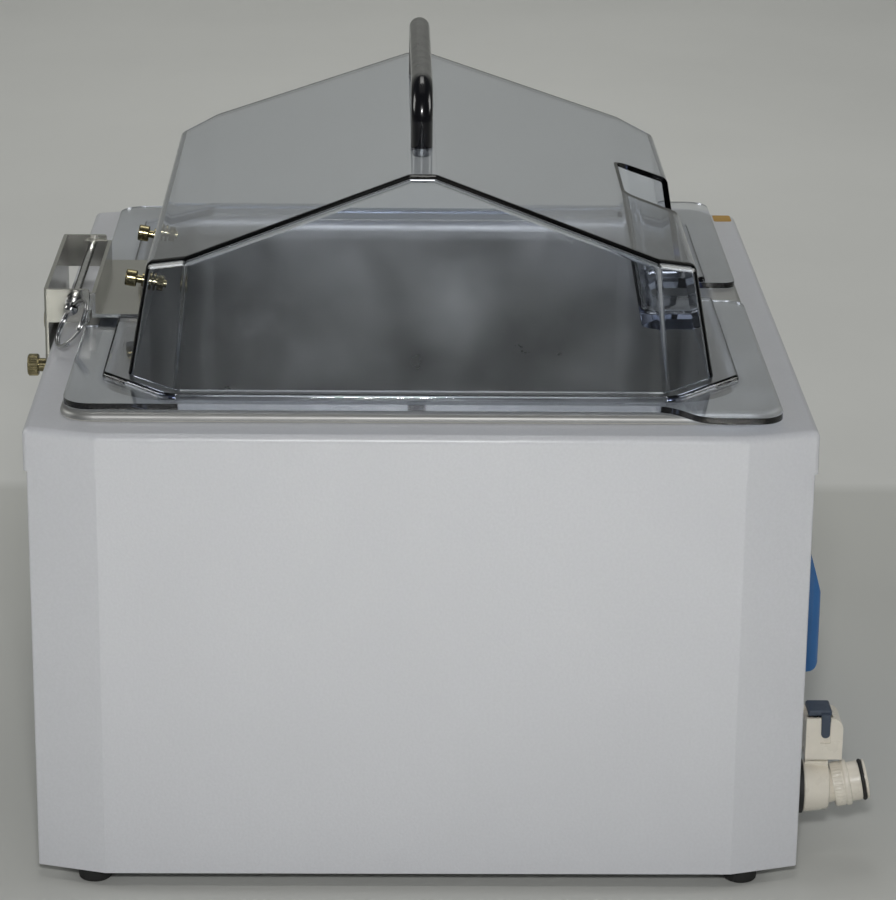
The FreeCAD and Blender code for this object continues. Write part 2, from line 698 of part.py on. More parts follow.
def switch_frame():
    face = HOUSING_FRONT
    bezel = box(SWITCH_X - 14, SWITCH_X + 14, face - 1.6, face - 0.1, SWITCH_Z - 11, SWITCH_Z + 11)
    bezel = bezel.makeFillet(0.6, [e for e in bezel.Edges if all(v.Y < face - 1 for v in e.Vertexes)])
    barrel = box(SWITCH_X - 11.8, SWITCH_X + 11.8, face - 0.2, face + 16, SWITCH_Z - 8.8, SWITCH_Z + 8.8)
    well = box(SWITCH_X - 10.3, SWITCH_X + 10.3, face - 3, face + 10, SWITCH_Z - 7.5, SWITCH_Z + 7.5)
    tabs = [box(SWITCH_X + x - 0.4, SWITCH_X + x + 0.4, face + 15, face + 22, SWITCH_Z - 3, SWITCH_Z + 3)
            for x in (-6, 0, 6)]
    pivots = [rod(1.5, Vector(SWITCH_X + s * 10.4, face + 3, SWITCH_Z),
                  Vector(SWITCH_X + s * 9.0, face + 3, SWITCH_Z)) for s in (-1, 1)]
    return fuse([bezel, barrel.cut(well).cut(box(SWITCH_X - 10.3, SWITCH_X + 10.3, face - 3, face,
                                                 SWITCH_Z - 7.5, SWITCH_Z + 7.5))]
                + tabs + pivots).cut(box(SWITCH_X - 10.3, SWITCH_X + 10.3, face - 3, face - 0.01,
                                         SWITCH_Z - 7.5, SWITCH_Z + 7.5))


def power_rocker():
    face = HOUSING_FRONT
    section = [
        Vector(0, face + 6, SWITCH_Z - 4.5),
        Vector(0, face + 1.2, SWITCH_Z - 6.6),
        Vector(0, face - 2.6, SWITCH_Z - 6.4),
        Vector(0, face - 1.4, SWITCH_Z),
        Vector(0, face - 2.6, SWITCH_Z + 6.4),
        Vector(0, face + 1.2, SWITCH_Z + 6.6),
        Vector(0, face + 6, SWITCH_Z + 4.5),
    ]
    half = 10.0
    cap = polygon_face(section).extrude(Vector(2 * half, 0, 0))
    cap.translate(Vector(SWITCH_X - half, 0, 0))
    sockets = [rod(1.56, Vector(SWITCH_X + s * 8.8, face + 3, SWITCH_Z),
                   Vector(SWITCH_X + s * 12, face + 3, SWITCH_Z)) for s in (-1, 1)]
    cap = cut_all(cap, sockets)
    cap.rotate(Vector(SWITCH_X, face + 3, SWITCH_Z), X_AXIS, ROCKER_REST_ANGLE)
    return cap


def housing_screw_places():
    return [(x, z) for x in (-94, 94) for z in (76, 150)]


def housing_screws():
    inside = FRONT_FACE + SHEET + 0.1
    screws = []
    for x, z in housing_screw_places():
        shank = rod(1.5, Vector(x, FRONT_FACE - 0.2, z), Vector(x, inside, z))
        head = rod(3.0, Vector(x, inside, z), Vector(x, inside + 2.2, z))
        screws.append(fuse([shank, head]))
    return group(screws)


def power_board():
    return box(40, 150, -150, -60, 14, 15.6)


def board_pillars():
    pillars = []
    for x in (46, 144):
        for y in (-144, -66):
            pillars.append(rod(3, Vector(x, y, BASE_TOP + 0.05), Vector(x, y, 13.95)))
    return group(pillars)


def heat_sink():
    base = box(100, 146, -140, -100, 15.7, 18.7)
    fins = [box(x, x + 1.5, -140, -100, 18, 38) for x in range(101, 146, 6)]
    return fuse([base] + fins)


def board_relay():
    return group([box(50, 69, -140, -124, 15.7, 31), box(50, 78, -110, -84, 15.7, 40)])


# ---------------------------------------------------------------- rear inlet

def mains_inlet():
    face = REAR_FACE + 0.1
    plate = box(INLET_X - 25, INLET_X + 25, face, face + 3, INLET_Z - 12, INLET_Z + 12)
    plate = plate.makeFillet(5, [e for e in plate.Edges if abs(e.tangentAt(e.FirstParameter).y) > 0.9])
    barrel = box(INLET_X - 13.5, INLET_X + 13.5, face - 20, face + 1, INLET_Z - 10, INLET_Z + 10)
    cavity = box(INLET_X - 12, INLET_X + 12, face - 14, face + 5, INLET_Z - 8, INLET_Z + 8)
    corners = [e for e in cavity.Edges
               if abs(e.tangentAt(e.FirstParameter).y) > 0.9 and e.Vertexes[0].Z > INLET_Z]
    cavity = cavity.makeChamfer(4, corners)
    holes = [rod(1.7, Vector(INLET_X + s * 20, face - 2, INLET_Z), Vector(INLET_X + s * 20, face + 5, INLET_Z))
             for s in (-1, 1)]
    return cut_all(fuse([plate, barrel]), [cavity] + holes)


def inlet_pins():
    face = REAR_FACE
    places = [(-7, -1.5), (0, 2.5), (7, -1.5)]
    return group([box(INLET_X + x - 1, INLET_X + x + 1, face - 13.8, face - 1, INLET_Z + z - 2, INLET_Z + z + 2)
                  for x, z in places])


def inlet_screws():
    screws = []
    for side in (-1, 1):
        x = INLET_X + side * 20
        head = rod(2.9, Vector(x, REAR_FACE + 3.15, INLET_Z), Vector(x, REAR_FACE + 5, INLET_Z))
        head = head.makeFillet(1.0, [e for e in head.Edges if e.Length > 15 and e.CenterOfMass.y > REAR_FACE + 4.5])
        shank = rod(1.5, Vector(x, REAR_FACE - 6, INLET_Z), Vector(x, REAR_FACE + 3.3, INLET_Z))
        slot = box(x - 3, x + 3, REAR_FACE + 4.3, REAR_FACE + 6, INLET_Z - 0.4, INLET_Z + 0.4)
        screws.append(fuse([head, shank]).cut(slot))
    return group(screws)


def supply_lead():
    route = [
        Vector(INLET_X, REAR_FACE - 20.2, INLET_Z),
        Vector(INLET_X, REAR_FACE - 50, INLET_Z),
        Vector(INLET_X + 30, 90, 30),
        Vector(INLET_X + 34, 30, 26),
        Vector(INLET_X + 34, -30, 26),
        Vector(INLET_X + 34, -90, 28),
        Vector(INLET_X + 26, -140, 40),
        Vector(INLET_X - 20, -165, 66),
        Vector(SWITCH_X + 6, -168, 86),
        Vector(SWITCH_X, -179, SWITCH_Z),
    ]
    return tube(route, 3.2)


def heater_lead():
    route = [
        Vector(90, -108, 68),
        Vector(90, -108, 56),
        Vector(88, -90, 47),
        Vector(80, -70, 40),
        Vector(68, -62, 32),
        Vector(64, -66, 18),
    ]
    return tube(route, 2.0)


def probe_lead():
    route = [
        Vector(0, -36.4, TANK_FLOOR - 3.7),
        Vector(0, -50, TANK_FLOOR - 6.5),
        Vector(2, -76, 62),
        Vector(5, -106, 58),
        Vector(8, -136, 62),
        Vector(10, -158, 78),
        Vector(10, -166, 104),
        Vector(10, -169.5, 122),
    ]
    return tube(route, 1.5)


# ---------------------------------------------------------------- hinge

def hinge_bracket():
    back = box(-EAR_OUTER_X, EAR_OUTER_X, BRACKET_BACK - EAR_SHEET, BRACKET_BACK, BRACKET_LOW, BRACKET_TOP)
    low_corners = [e for e in back.Edges if abs(e.tangentAt(e.FirstParameter).y) > 0.9
                   and e.CenterOfMass.z < BRACKET_LOW + 1]
    back = back.makeFillet(5, low_corners)
    ears = []
    for side in (-1, 1):
        x0, x1 = sorted((side * EAR_OUTER_X, side * (EAR_OUTER_X - EAR_SHEET)))
        ear = box(x0, x1, BRACKET_FRONT, BRACKET_BACK, BRACKET_EAR_LOW, BRACKET_TOP)
        front = [e for e in ear.Edges if abs(e.tangentAt(e.FirstParameter).x) > 0.9
                 and e.CenterOfMass.y < BRACKET_FRONT + 1]
        ears.append(ear.makeFillet(1.2, front))
    body = fuse([back] + ears)
    bends = [e for e in body.Edges if abs(e.tangentAt(e.FirstParameter).z) > 0.9
             and e.CenterOfMass.y > BRACKET_BACK - 0.01 and e.Length > 30]
    body = body.makeFillet(1.2, bends)
    pin_hole = rod(PIN_RADIUS + RUNNING_GAP, Vector(-70, PIN_Y, PIN_Z), Vector(70, PIN_Y, PIN_Z))
    tools = [pin_hole] + [screw_hole(x, SCREW_Z, SCREW_RADIUS + 0.4) for x in (-SCREW_X, SCREW_X)]
    return cut_all(body, tools)


def wall_y(z):
    """Rear face of the lid's rear wall at height z."""
    return DOME_HALF_Y - WALL_DRAFT * (z - LID_TOP)


def hinge_leaf():
    upright_low = LEAF_LOW + 3
    upright_top = BOLT_Z + 7
    near_low = wall_y(upright_low) + 0.2
    near_top = wall_y(upright_top) + 0.2
    section = [
        Vector(0, near_top, upright_top),
        Vector(0, near_top + LEAF_SHEET, upright_top),
        Vector(0, near_low + LEAF_SHEET + 0.4, LEAF_LOW + LEAF_SHEET),
        Vector(0, LEAF_REAR - LEAF_SHEET, LEAF_LOW + LEAF_SHEET),
        Vector(0, LEAF_REAR - LEAF_SHEET, LEAF_TOP),
        Vector(0, LEAF_REAR, LEAF_TOP),
        Vector(0, LEAF_REAR, LEAF_LOW),
        Vector(0, near_low + 0.6, LEAF_LOW),
    ]
    strip = polygon_face(section).extrude(Vector(2 * LEAF_HALF_X, 0, 0))
    strip.translate(Vector(-LEAF_HALF_X, 0, 0))
    knuckles = []
    for side in (-1, 1):
        outer = side * LEAF_HALF_X
        inner = side * (LEAF_HALF_X - LEAF_SHEET)
        x0, x1 = sorted((outer, inner))
        cheek = box(x0, x1, LEAF_REAR - LEAF_SHEET, PIN_Y, PIN_Z - 5, LEAF_TOP)
        boss = rod(5, Vector(x0, PIN_Y, PIN_Z), Vector(x1, PIN_Y, PIN_Z))
        knuckles += [cheek, boss.common(box(x0, x1, PIN_Y - 10, PIN_Y + 10, PIN_Z - 10, LEAF_TOP))]
    body = fuse([strip] + knuckles)
    pin_hole = rod(PIN_RADIUS + RUNNING_GAP, Vector(-70, PIN_Y, PIN_Z), Vector(70, PIN_Y, PIN_Z))
    tools = [pin_hole] + [bolt_rod(x, 2.2, -20, 20) for x in (-BOLT_X, BOLT_X)]
    return cut_all(body, tools)


def bolt_rod(x, radius, start, end):
    """Rod square to the lid's rear wall, measured outwards from the wall's face."""
    outward = Vector(0, 1, WALL_DRAFT)
    outward.normalize()
    face = Vector(x, wall_y(BOLT_Z), BOLT_Z)
    return rod(radius, face.add(Vector(outward).multiply(start)), face.add(Vector(outward).multiply(end)))


def leaf_bolts():
    head_start = LEAF_SHEET + 4.2
    head_end = head_start + 5.8
    bolts = []
    for x in (-BOLT_X, BOLT_X):
        head = bolt_rod(x, 4.2, head_start, head_end)
        head = head.makeFillet(0.8, [e for e in head.Edges if e.Length > 20])
        collar = bolt_rod(x, 3.4, LEAF_SHEET + 0.5, LEAF_SHEET + 1.7)
        shank = bolt_rod(x, 2.0, -10, head_start + 1)
        bolt = fuse([head, collar, shank])
        bolts.append(bolt.cut(bolt_rod(x, 1.6, head_end - 2.4, head_end + 1)))
    return group(bolts)


def leaf_nuts():
    outward = Vector(0, 1, WALL_DRAFT)
    outward.normalize()
    nuts = []
    for x in (-BOLT_X, BOLT_X):
        face = Vector(x, wall_y(BOLT_Z), BOLT_Z)
        start = face.sub(Vector(outward).multiply(8.6))
        nut = hex_prism(7.0, start, outward, 3.2)
        washer = bolt_rod(x, 4.5, -4.6, -3.5)
        nuts.append(nut.cut(bolt_rod(x, 2.03, -20, 5)))
        nuts.append(washer.cut(bolt_rod(x, 2.1, -20, 5)))
    return group(nuts)


def hinge_pin():
    shaft = rod(PIN_RADIUS, Vector(-EAR_OUTER_X - 1, PIN_Y, PIN_Z), Vector(61, PIN_Y, PIN_Z))
    shaft = shaft.makeChamfer(0.8, [e for e in shaft.Edges if e.CenterOfMass.x > 60 and e.Length > 10])
    collar = rod(4.0, Vector(-EAR_OUTER_X - 3, PIN_Y, PIN_Z), Vector(-EAR_OUTER_X - 0.4, PIN_Y, PIN_Z))
    disc = rod(3.3, Vector(-EAR_OUTER_X - 6.4, PIN_Y, PIN_Z), Vector(-EAR_OUTER_X - 4.8, PIN_Y, PIN_Z))
    neck = rod(2.5, Vector(KNOB_X, PIN_Y, PIN_Z), Vector(-EAR_OUTER_X - 2, PIN_Y, PIN_Z))
    knob = Part.makeSphere(KNOB_RADIUS, Vector(KNOB_X, PIN_Y, PIN_Z))
    across = ring_hole_direction()
    start = ring_hole().sub(Vector(across).multiply(10))
    hole = rod(1.8, start, ring_hole().add(Vector(across).multiply(10)))
    return fuse([shaft, collar, disc, neck, knob]).cut(hole)


def ring_hole():
    return Vector(KNOB_X - 0.6, PIN_Y, PIN_Z)


def ring_hole_direction():
    return Vector(0.187, 0.602, -0.777)


def pin_ring():
    across = ring_hole_direction()
    across.normalize()
    hanging = Vector(-0.942, -0.115, -0.316)
    normal = across.cross(hanging)
    normal.normalize()
    reach = normal.cross(across)
    reach.normalize()
    centre = ring_hole().add(reach.multiply(RING_RADIUS))
    return Part.makeTorus(RING_RADIUS, RING_WIRE, centre, normal)


def thumb_screw(x):
    shank = rod(SCREW_RADIUS, Vector(x, REAR_FACE - 9, SCREW_Z), Vector(x, 190, SCREW_Z))
    neck = rod(3.4, Vector(x, BRACKET_BACK + 0.2, SCREW_Z), Vector(x, 192.6, SCREW_Z))
    head = rod(5.6, Vector(x, 192.4, SCREW_Z), Vector(x, SCREW_END, SCREW_Z))
    head = head.makeChamfer(0.7, [e for e in head.Edges if e.Length > 30])
    grooves = []
    for index in range(KNURL_COUNT):
        angle = 2 * math.pi * index / KNURL_COUNT
        place = Vector(x + 5.75 * math.cos(angle), 0, SCREW_Z + 5.75 * math.sin(angle))
        grooves.append(rod(0.38, Vector(place.x, 191, place.z), Vector(place.x, 200, place.z)))
    return fuse([shank, neck, cut_all(head, grooves)])


def screw_bushes():
    """Threaded bushes inside the casing and the spacers that stand the bracket off it."""
    bush = rod(4.5, Vector(0, REAR_FACE - SHEET - 6, SCREW_Z), Vector(0, REAR_FACE - SHEET - 0.1, SCREW_Z))
    spacer = rod(6.0, Vector(0, CASE_HALF_Y + 0.05, SCREW_Z),
                 Vector(0, BRACKET_BACK - EAR_SHEET - 0.05, SCREW_Z))
    pair = group([bush, spacer]).cut(screw_hole(0, SCREW_Z, SCREW_RADIUS + RUNNING_GAP))
    return left_and_right(pair, SCREW_X)


# ---------------------------------------------------------------- lid

def dome_outline(inset, z):
    """Rectangle with four chamfered corners that narrows upwards, moved in by inset."""
    rise = z - LID_TOP
    half_x = DOME_HALF_X - GABLE_DRAFT * rise
    half_y = DOME_HALF_Y - WALL_DRAFT * rise
    chamfer_y = DOME_CHAMFER_Y * (1 - CHAMFER_TAPER * rise)
    slope = math.hypot(DOME_CHAMFER_X, DOME_CHAMFER_Y)
    reach = DOME_CHAMFER_Y * half_x + DOME_CHAMFER_X * (half_y - chamfer_y) - inset * slope
    end_x = half_x - inset
    side_y = half_y - inset
    end_y = (reach - DOME_CHAMFER_Y * end_x) / DOME_CHAMFER_X
    side_x = (reach - DOME_CHAMFER_X * side_y) / DOME_CHAMFER_Y
    corner = [(end_x, end_y), (side_x, side_y)]
    mirrored = [(-x, y) for x, y in reversed(corner)]
    upper = corner + mirrored
    return [Vector(x, y, z) for x, y in upper + [(-x, -y) for x, y in upper]]


def frustum(low, high):
    """Solid between two parallel outlines with the same number of points."""
    faces = [polygon_face(low), polygon_face(high)]
    for index in range(len(low)):
        after = (index + 1) % len(low)
        faces.append(polygon_face([low[index], low[after], high[after], high[index]]))
    solid = Part.Solid(Part.Shell(faces))
    if solid.Volume < 0:
        solid.reverse()
    return solid


def dome_block(inset, z0):
    body = frustum(dome_outline(inset, z0), dome_outline(inset, RIDGE_TOP + 6))
    drop = inset * math.hypot(1, ROOF_SLOPE)
    ridge_z = RIDGE_TOP - inset
    half = RIDGE_HALF
    far = 200.0
    eave = RIDGE_TOP - drop - ROOF_SLOPE * (far - half)
    ridge_edge = half - (drop - inset) / ROOF_SLOPE
    roof = polygon_face([
        Vector(-220, -far, z0 - 1), Vector(-220, -far, eave), Vector(-220, -ridge_edge, ridge_z),
        Vector(-220, ridge_edge, ridge_z), Vector(-220, far, eave), Vector(-220, far, z0 - 1),
    ]).extrude(Vector(440, 0, 0))
    return body.common(roof)


def round_dome(body, radius, low_z):
    bends = [e for e in body.Edges if max(v.Z for v in e.Vertexes) > low_z + 5]
    return body.makeFillet(radius, bends)


def recess_outline(half, back, corner, z):
    """Rectangle open to the front with two rounded corners at the back."""
    front = -200.0
    bend = corner * (1 - math.sqrt(0.5))
    right = Part.Arc(Vector(half, back - corner, z), Vector(half - bend, back - bend, z),
                     Vector(half - corner, back, z))
    left = Part.Arc(Vector(corner - half, back, z), Vector(bend - half, back - bend, z),
                    Vector(-half, back - corner, z))
    lines = [
        Part.LineSegment(Vector(half, front, z), Vector(half, back - corner, z)),
        right,
        Part.LineSegment(Vector(half - corner, back, z), Vector(corner - half, back, z)),
        left,
        Part.LineSegment(Vector(-half, back - corner, z), Vector(-half, front, z)),
        Part.LineSegment(Vector(-half, front, z), Vector(half, front, z)),
    ]
    return Part.Wire([line.toShape() for line in lines])


def recess_block(grow, floor_z):
    wires = []
    for z in (floor_z, RIDGE_TOP + 10):
        climb = (z - LID_TOP) / (RECESS_HIGH_Z - LID_TOP)
        half = RECESS_HALF_LOW + (RECESS_HALF_HIGH - RECESS_HALF_LOW) * climb
        back = RECESS_BACK_LOW + (RECESS_BACK_HIGH - RECESS_BACK_LOW) * climb
        wires.append(recess_outline(half + grow, back + grow, RECESS_CORNER + grow, z))
    block = Part.makeLoft(wires, True, True)
    foot = [e for e in edges_at_height(block, floor_z) if e.CenterOfMass.y > -199]
    return block.makeFillet(RECESS_FOOT, foot)


def flange_block():
    main = rounded_block(FLANGE_HALF_X, FLANGE_HALF_Y, 13, LID_UNDER, LID_TOP)
    ears = polygon_face([
        Vector(-EAR_HALF_X, -FLANGE_HALF_Y, LID_UNDER), Vector(EAR_HALF_X, -FLANGE_HALF_Y, LID_UNDER),
        Vector(EAR_HALF_X, EAR_OUTER_Y, LID_UNDER), Vector(FLANGE_HALF_X, EAR_INNER_Y, LID_UNDER),
        Vector(-FLANGE_HALF_X, EAR_INNER_Y, LID_UNDER), Vector(-EAR_HALF_X, EAR_OUTER_Y, LID_UNDER),
    ]).extrude(Vector(0, 0, LID_SHEET))
    plate = fuse([main, ears])
    bends = [e for e in upright_edges(plate)
             if EAR_OUTER_Y - 1 < e.CenterOfMass.y < EAR_INNER_Y + 1]
    plate = plate.makeFillet(17, bends)
    front = [e for e in upright_edges(plate) if e.CenterOfMass.y < -FLANGE_HALF_Y + 0.1]
    return plate.makeFillet(12, front)


def corner_waste(x, y, into_x, into_y, radius):
    """What a sharp corner of a plate loses when it is rounded."""
    x0, x1 = sorted((x, x + into_x * radius))
    y0, y1 = sorted((y, y + into_y * radius))
    low = LID_UNDER - 5
    high = LID_TOP + 10
    centre = Vector(x + into_x * radius, y + into_y * radius, low)
    return box(x0, x1, y0, y1, low, high).cut(rod(radius, centre, Vector(centre.x, centre.y, high)))


def slot_block(grow):
    block = box(SLOT_LEFT - grow, SLOT_RIGHT + grow, -190, SLOT_BACK + grow, LID_UNDER - 5, LID_TOP + 10)
    return block.makeFillet(6 + grow, [e for e in upright_edges(block) if e.CenterOfMass.y > -189])


def flange_slot():
    """Way out for leads through the recess's floor and the flange's front edge."""
    left = corner_waste(SLOT_LEFT, -FLANGE_HALF_Y, -1, 1, 8.8)
    right = corner_waste(SLOT_RIGHT, -FLANGE_HALF_Y, 1, 1, 6.0)
    return fuse([slot_block(0), left, right])


def hinge_relief():
    relief = box(-57.5, 57.5, 160.5, 180, LID_UNDER - 5, LID_TOP + 0.5)
    return relief.makeFillet(4, [e for e in upright_edges(relief) if e.CenterOfMass.y < 161])


def shoulder():
    """Raised step around the dome's foot, with straight corners and rounded edges."""
    quarter = [(SHOULDER_HALF_X, SHOULDER_CORNER_Y), (SHOULDER_CORNER_X, SHOULDER_HALF_Y)]
    upper = quarter + [(-x, y) for x, y in reversed(quarter)]
    outline = upper + [(-x, -y) for x, y in upper]
    low = LID_UNDER + 0.5
    step = polygon_face([Vector(x, y, low) for x, y in outline]).extrude(Vector(0, 0, SHOULDER_TOP - low))
    sides = [e for e in upright_edges(step) if abs(e.CenterOfMass.x) > SHOULDER_HALF_X - 1]
    step = step.makeFillet(14, sides).cut(slot_block(1.0))
    ends = [e for e in upright_edges(step) if abs(abs(e.CenterOfMass.y) - SHOULDER_HALF_Y) < 0.1]
    step = step.makeFillet(3, ends)
    return step.makeFillet(1.8, edges_at_height(step, SHOULDER_TOP))


def lid_shell():
    outer = round_dome(dome_block(0, LID_UNDER), 5.0, LID_UNDER).cut(recess_block(0, SHOULDER_TOP))
    outer = fuse([outer, flange_block(), shoulder()])
    inner = round_dome(dome_block(LID_SHEET, LID_UNDER - 3), 2.5, LID_UNDER - 3)
    inner = inner.cut(recess_block(LID_SHEET, LID_UNDER - 20))
    tools = [inner, flange_slot(), hinge_relief()]
    tools += [bolt_rod(x, 2.2, -20, 20) for x in (-BOLT_X, BOLT_X)]
    tools += [rod(2.6, Vector(x, 0, RIDGE_TOP - 8), Vector(x, 0, RIDGE_TOP + 8))
              for x in (-HANDLE_HALF, HANDLE_HALF)]
    return cut_all(outer, tools)


def lid_handle():
    foot = RIDGE_TOP + 0.05
    bend = HANDLE_BEND
    high = HANDLE_AXIS_Z
    reach = HANDLE_HALF
    corner = bend * (1 - math.sqrt(0.5))
    edges = [
        Part.LineSegment(Vector(-reach, 0, foot), Vector(-reach, 0, high - bend)).toShape(),
        Part.Arc(Vector(-reach, 0, high - bend), Vector(-reach + corner, 0, high - corner),
                 Vector(-reach + bend, 0, high)).toShape(),
        Part.LineSegment(Vector(-reach + bend, 0, high), Vector(reach - bend, 0, high)).toShape(),
        Part.Arc(Vector(reach - bend, 0, high), Vector(reach - corner, 0, high - corner),
                 Vector(reach, 0, high - bend)).toShape(),
        Part.LineSegment(Vector(reach, 0, high - bend), Vector(reach, 0, foot)).toShape(),
    ]
    ring = Part.Wire(Part.Circle(Vector(-reach, 0, foot), Z_AXIS, HANDLE_RADIUS).toShape())
    bow = Part.Wire(edges).makePipeShell([ring], True, False)
    holes = [rod(2.0, Vector(x, 0, foot - 1), Vector(x, 0, foot + 11)) for x in (-reach, reach)]
    return cut_all(bow, holes)


def handle_screws():
    under = RIDGE_TOP - LID_SHEET
    screws = []
    for x in (-HANDLE_HALF, HANDLE_HALF):
        head = rod(4.6, Vector(x, 0, under - 4.0), Vector(x, 0, under - 1.2))
        head = head.makeFillet(1.6, edges_at_height(head, under - 4.0))
        shank = rod(1.95, Vector(x, 0, under - 1.3), Vector(x, 0, RIDGE_TOP + 10))
        washer = rod(5.5, Vector(x, 0, under - 1.1), Vector(x, 0, under - 0.1))
        screws.append(fuse([head, shank]))
        screws.append(washer.cut(rod(2.1, Vector(x, 0, under - 3), Vector(x, 0, under + 3))))
    return group(screws)


os.makedirs("parts", exist_ok=True)

save("lower_casing", lower_casing())
save("top_cover", top_cover())
save("base_plate", base_plate())
save("feet", feet())
save("feet_screws", feet_screws())
save("feet_nuts", feet_nuts())
save("cover_patch", cover_patch())

save("tank", tank())
save("rim_seal", rim_seal())
save("tank_clips", tank_clips())
save("tank_insulation", tank_insulation())
save("heater_mat", heater_mat())
save("temperature_probe", temperature_probe())
save("probe_clip", probe_clip())
save("overheat_cutout", overheat_cutout())

save("drain_spud", drain_spud())
save("drain_nut", drain_nut())
save("drain_hose", drain_hose())
save("hose_clamps", hose_clamps())
save("drain_gasket", drain_gasket())
save("coupling_body", coupling_body())
save("coupling_nut", coupling_nut())
save("coupling_latch", coupling_latch())
save("latch_spring", latch_spring())
save("drain_insert", drain_insert())
save("insert_o_ring", insert_o_ring())

save("control_housing", control_housing())
save("control_overlay", control_overlay())
save("display_window", display_window())
save("display_module", display_module())
save("control_board", control_board())
save("key_switches", key_switches())
for key_name, key_x in zip(("key_set", "key_down", "key_up"), key_places()):
    save(key_name, key(key_x))
save("switch_frame", switch_frame())
save("power_rocker", power_rocker())
save("housing_screws", housing_screws())
save("power_board", power_board())
save("board_pillars", board_pillars())
save("heat_sink", heat_sink())
save("board_relay", board_relay())

save("mains_inlet", mains_inlet())
save("inlet_pins", inlet_pins())
save("inlet_screws", inlet_screws())
save("supply_lead", supply_lead())
save("heater_lead", heater_lead())
save("probe_lead", probe_lead())

save("hinge_bracket", hinge_bracket())
save("screw_bushes", screw_bushes())
save("thumb_screw_left", thumb_screw(-SCREW_X))
save("thumb_screw_right", thumb_screw(SCREW_X))
save("hinge_pin", hinge_pin())
save("pin_ring", pin_ring())

save("lid_shell", lid_shell())
save("hinge_leaf", hinge_leaf())
save("leaf_bolts", leaf_bolts())
save("leaf_nuts", leaf_nuts())
save("lid_handle", lid_handle())
save("handle_screws", handle_screws())
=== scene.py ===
import json
import math

import bmesh
import bpy
from mathutils import Matrix, Vector


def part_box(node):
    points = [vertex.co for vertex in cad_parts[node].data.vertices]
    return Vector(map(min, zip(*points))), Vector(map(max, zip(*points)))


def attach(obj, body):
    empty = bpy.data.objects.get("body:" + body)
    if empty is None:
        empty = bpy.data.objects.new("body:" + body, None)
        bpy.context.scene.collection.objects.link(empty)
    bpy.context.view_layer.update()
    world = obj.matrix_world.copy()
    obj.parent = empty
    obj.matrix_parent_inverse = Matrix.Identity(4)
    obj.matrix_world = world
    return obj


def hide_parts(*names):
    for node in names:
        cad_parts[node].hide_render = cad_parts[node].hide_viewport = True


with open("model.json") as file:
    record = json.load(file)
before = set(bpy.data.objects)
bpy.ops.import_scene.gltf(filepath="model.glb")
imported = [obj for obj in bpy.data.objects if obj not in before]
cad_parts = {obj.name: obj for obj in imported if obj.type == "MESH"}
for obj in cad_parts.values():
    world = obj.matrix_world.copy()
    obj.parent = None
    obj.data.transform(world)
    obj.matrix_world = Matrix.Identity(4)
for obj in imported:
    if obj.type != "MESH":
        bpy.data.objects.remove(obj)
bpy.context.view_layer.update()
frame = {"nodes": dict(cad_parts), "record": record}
NODES = frame["nodes"]

MM = 0.001
SCENE = bpy.context.scene


# ---------------------------------------------------------------- node helpers

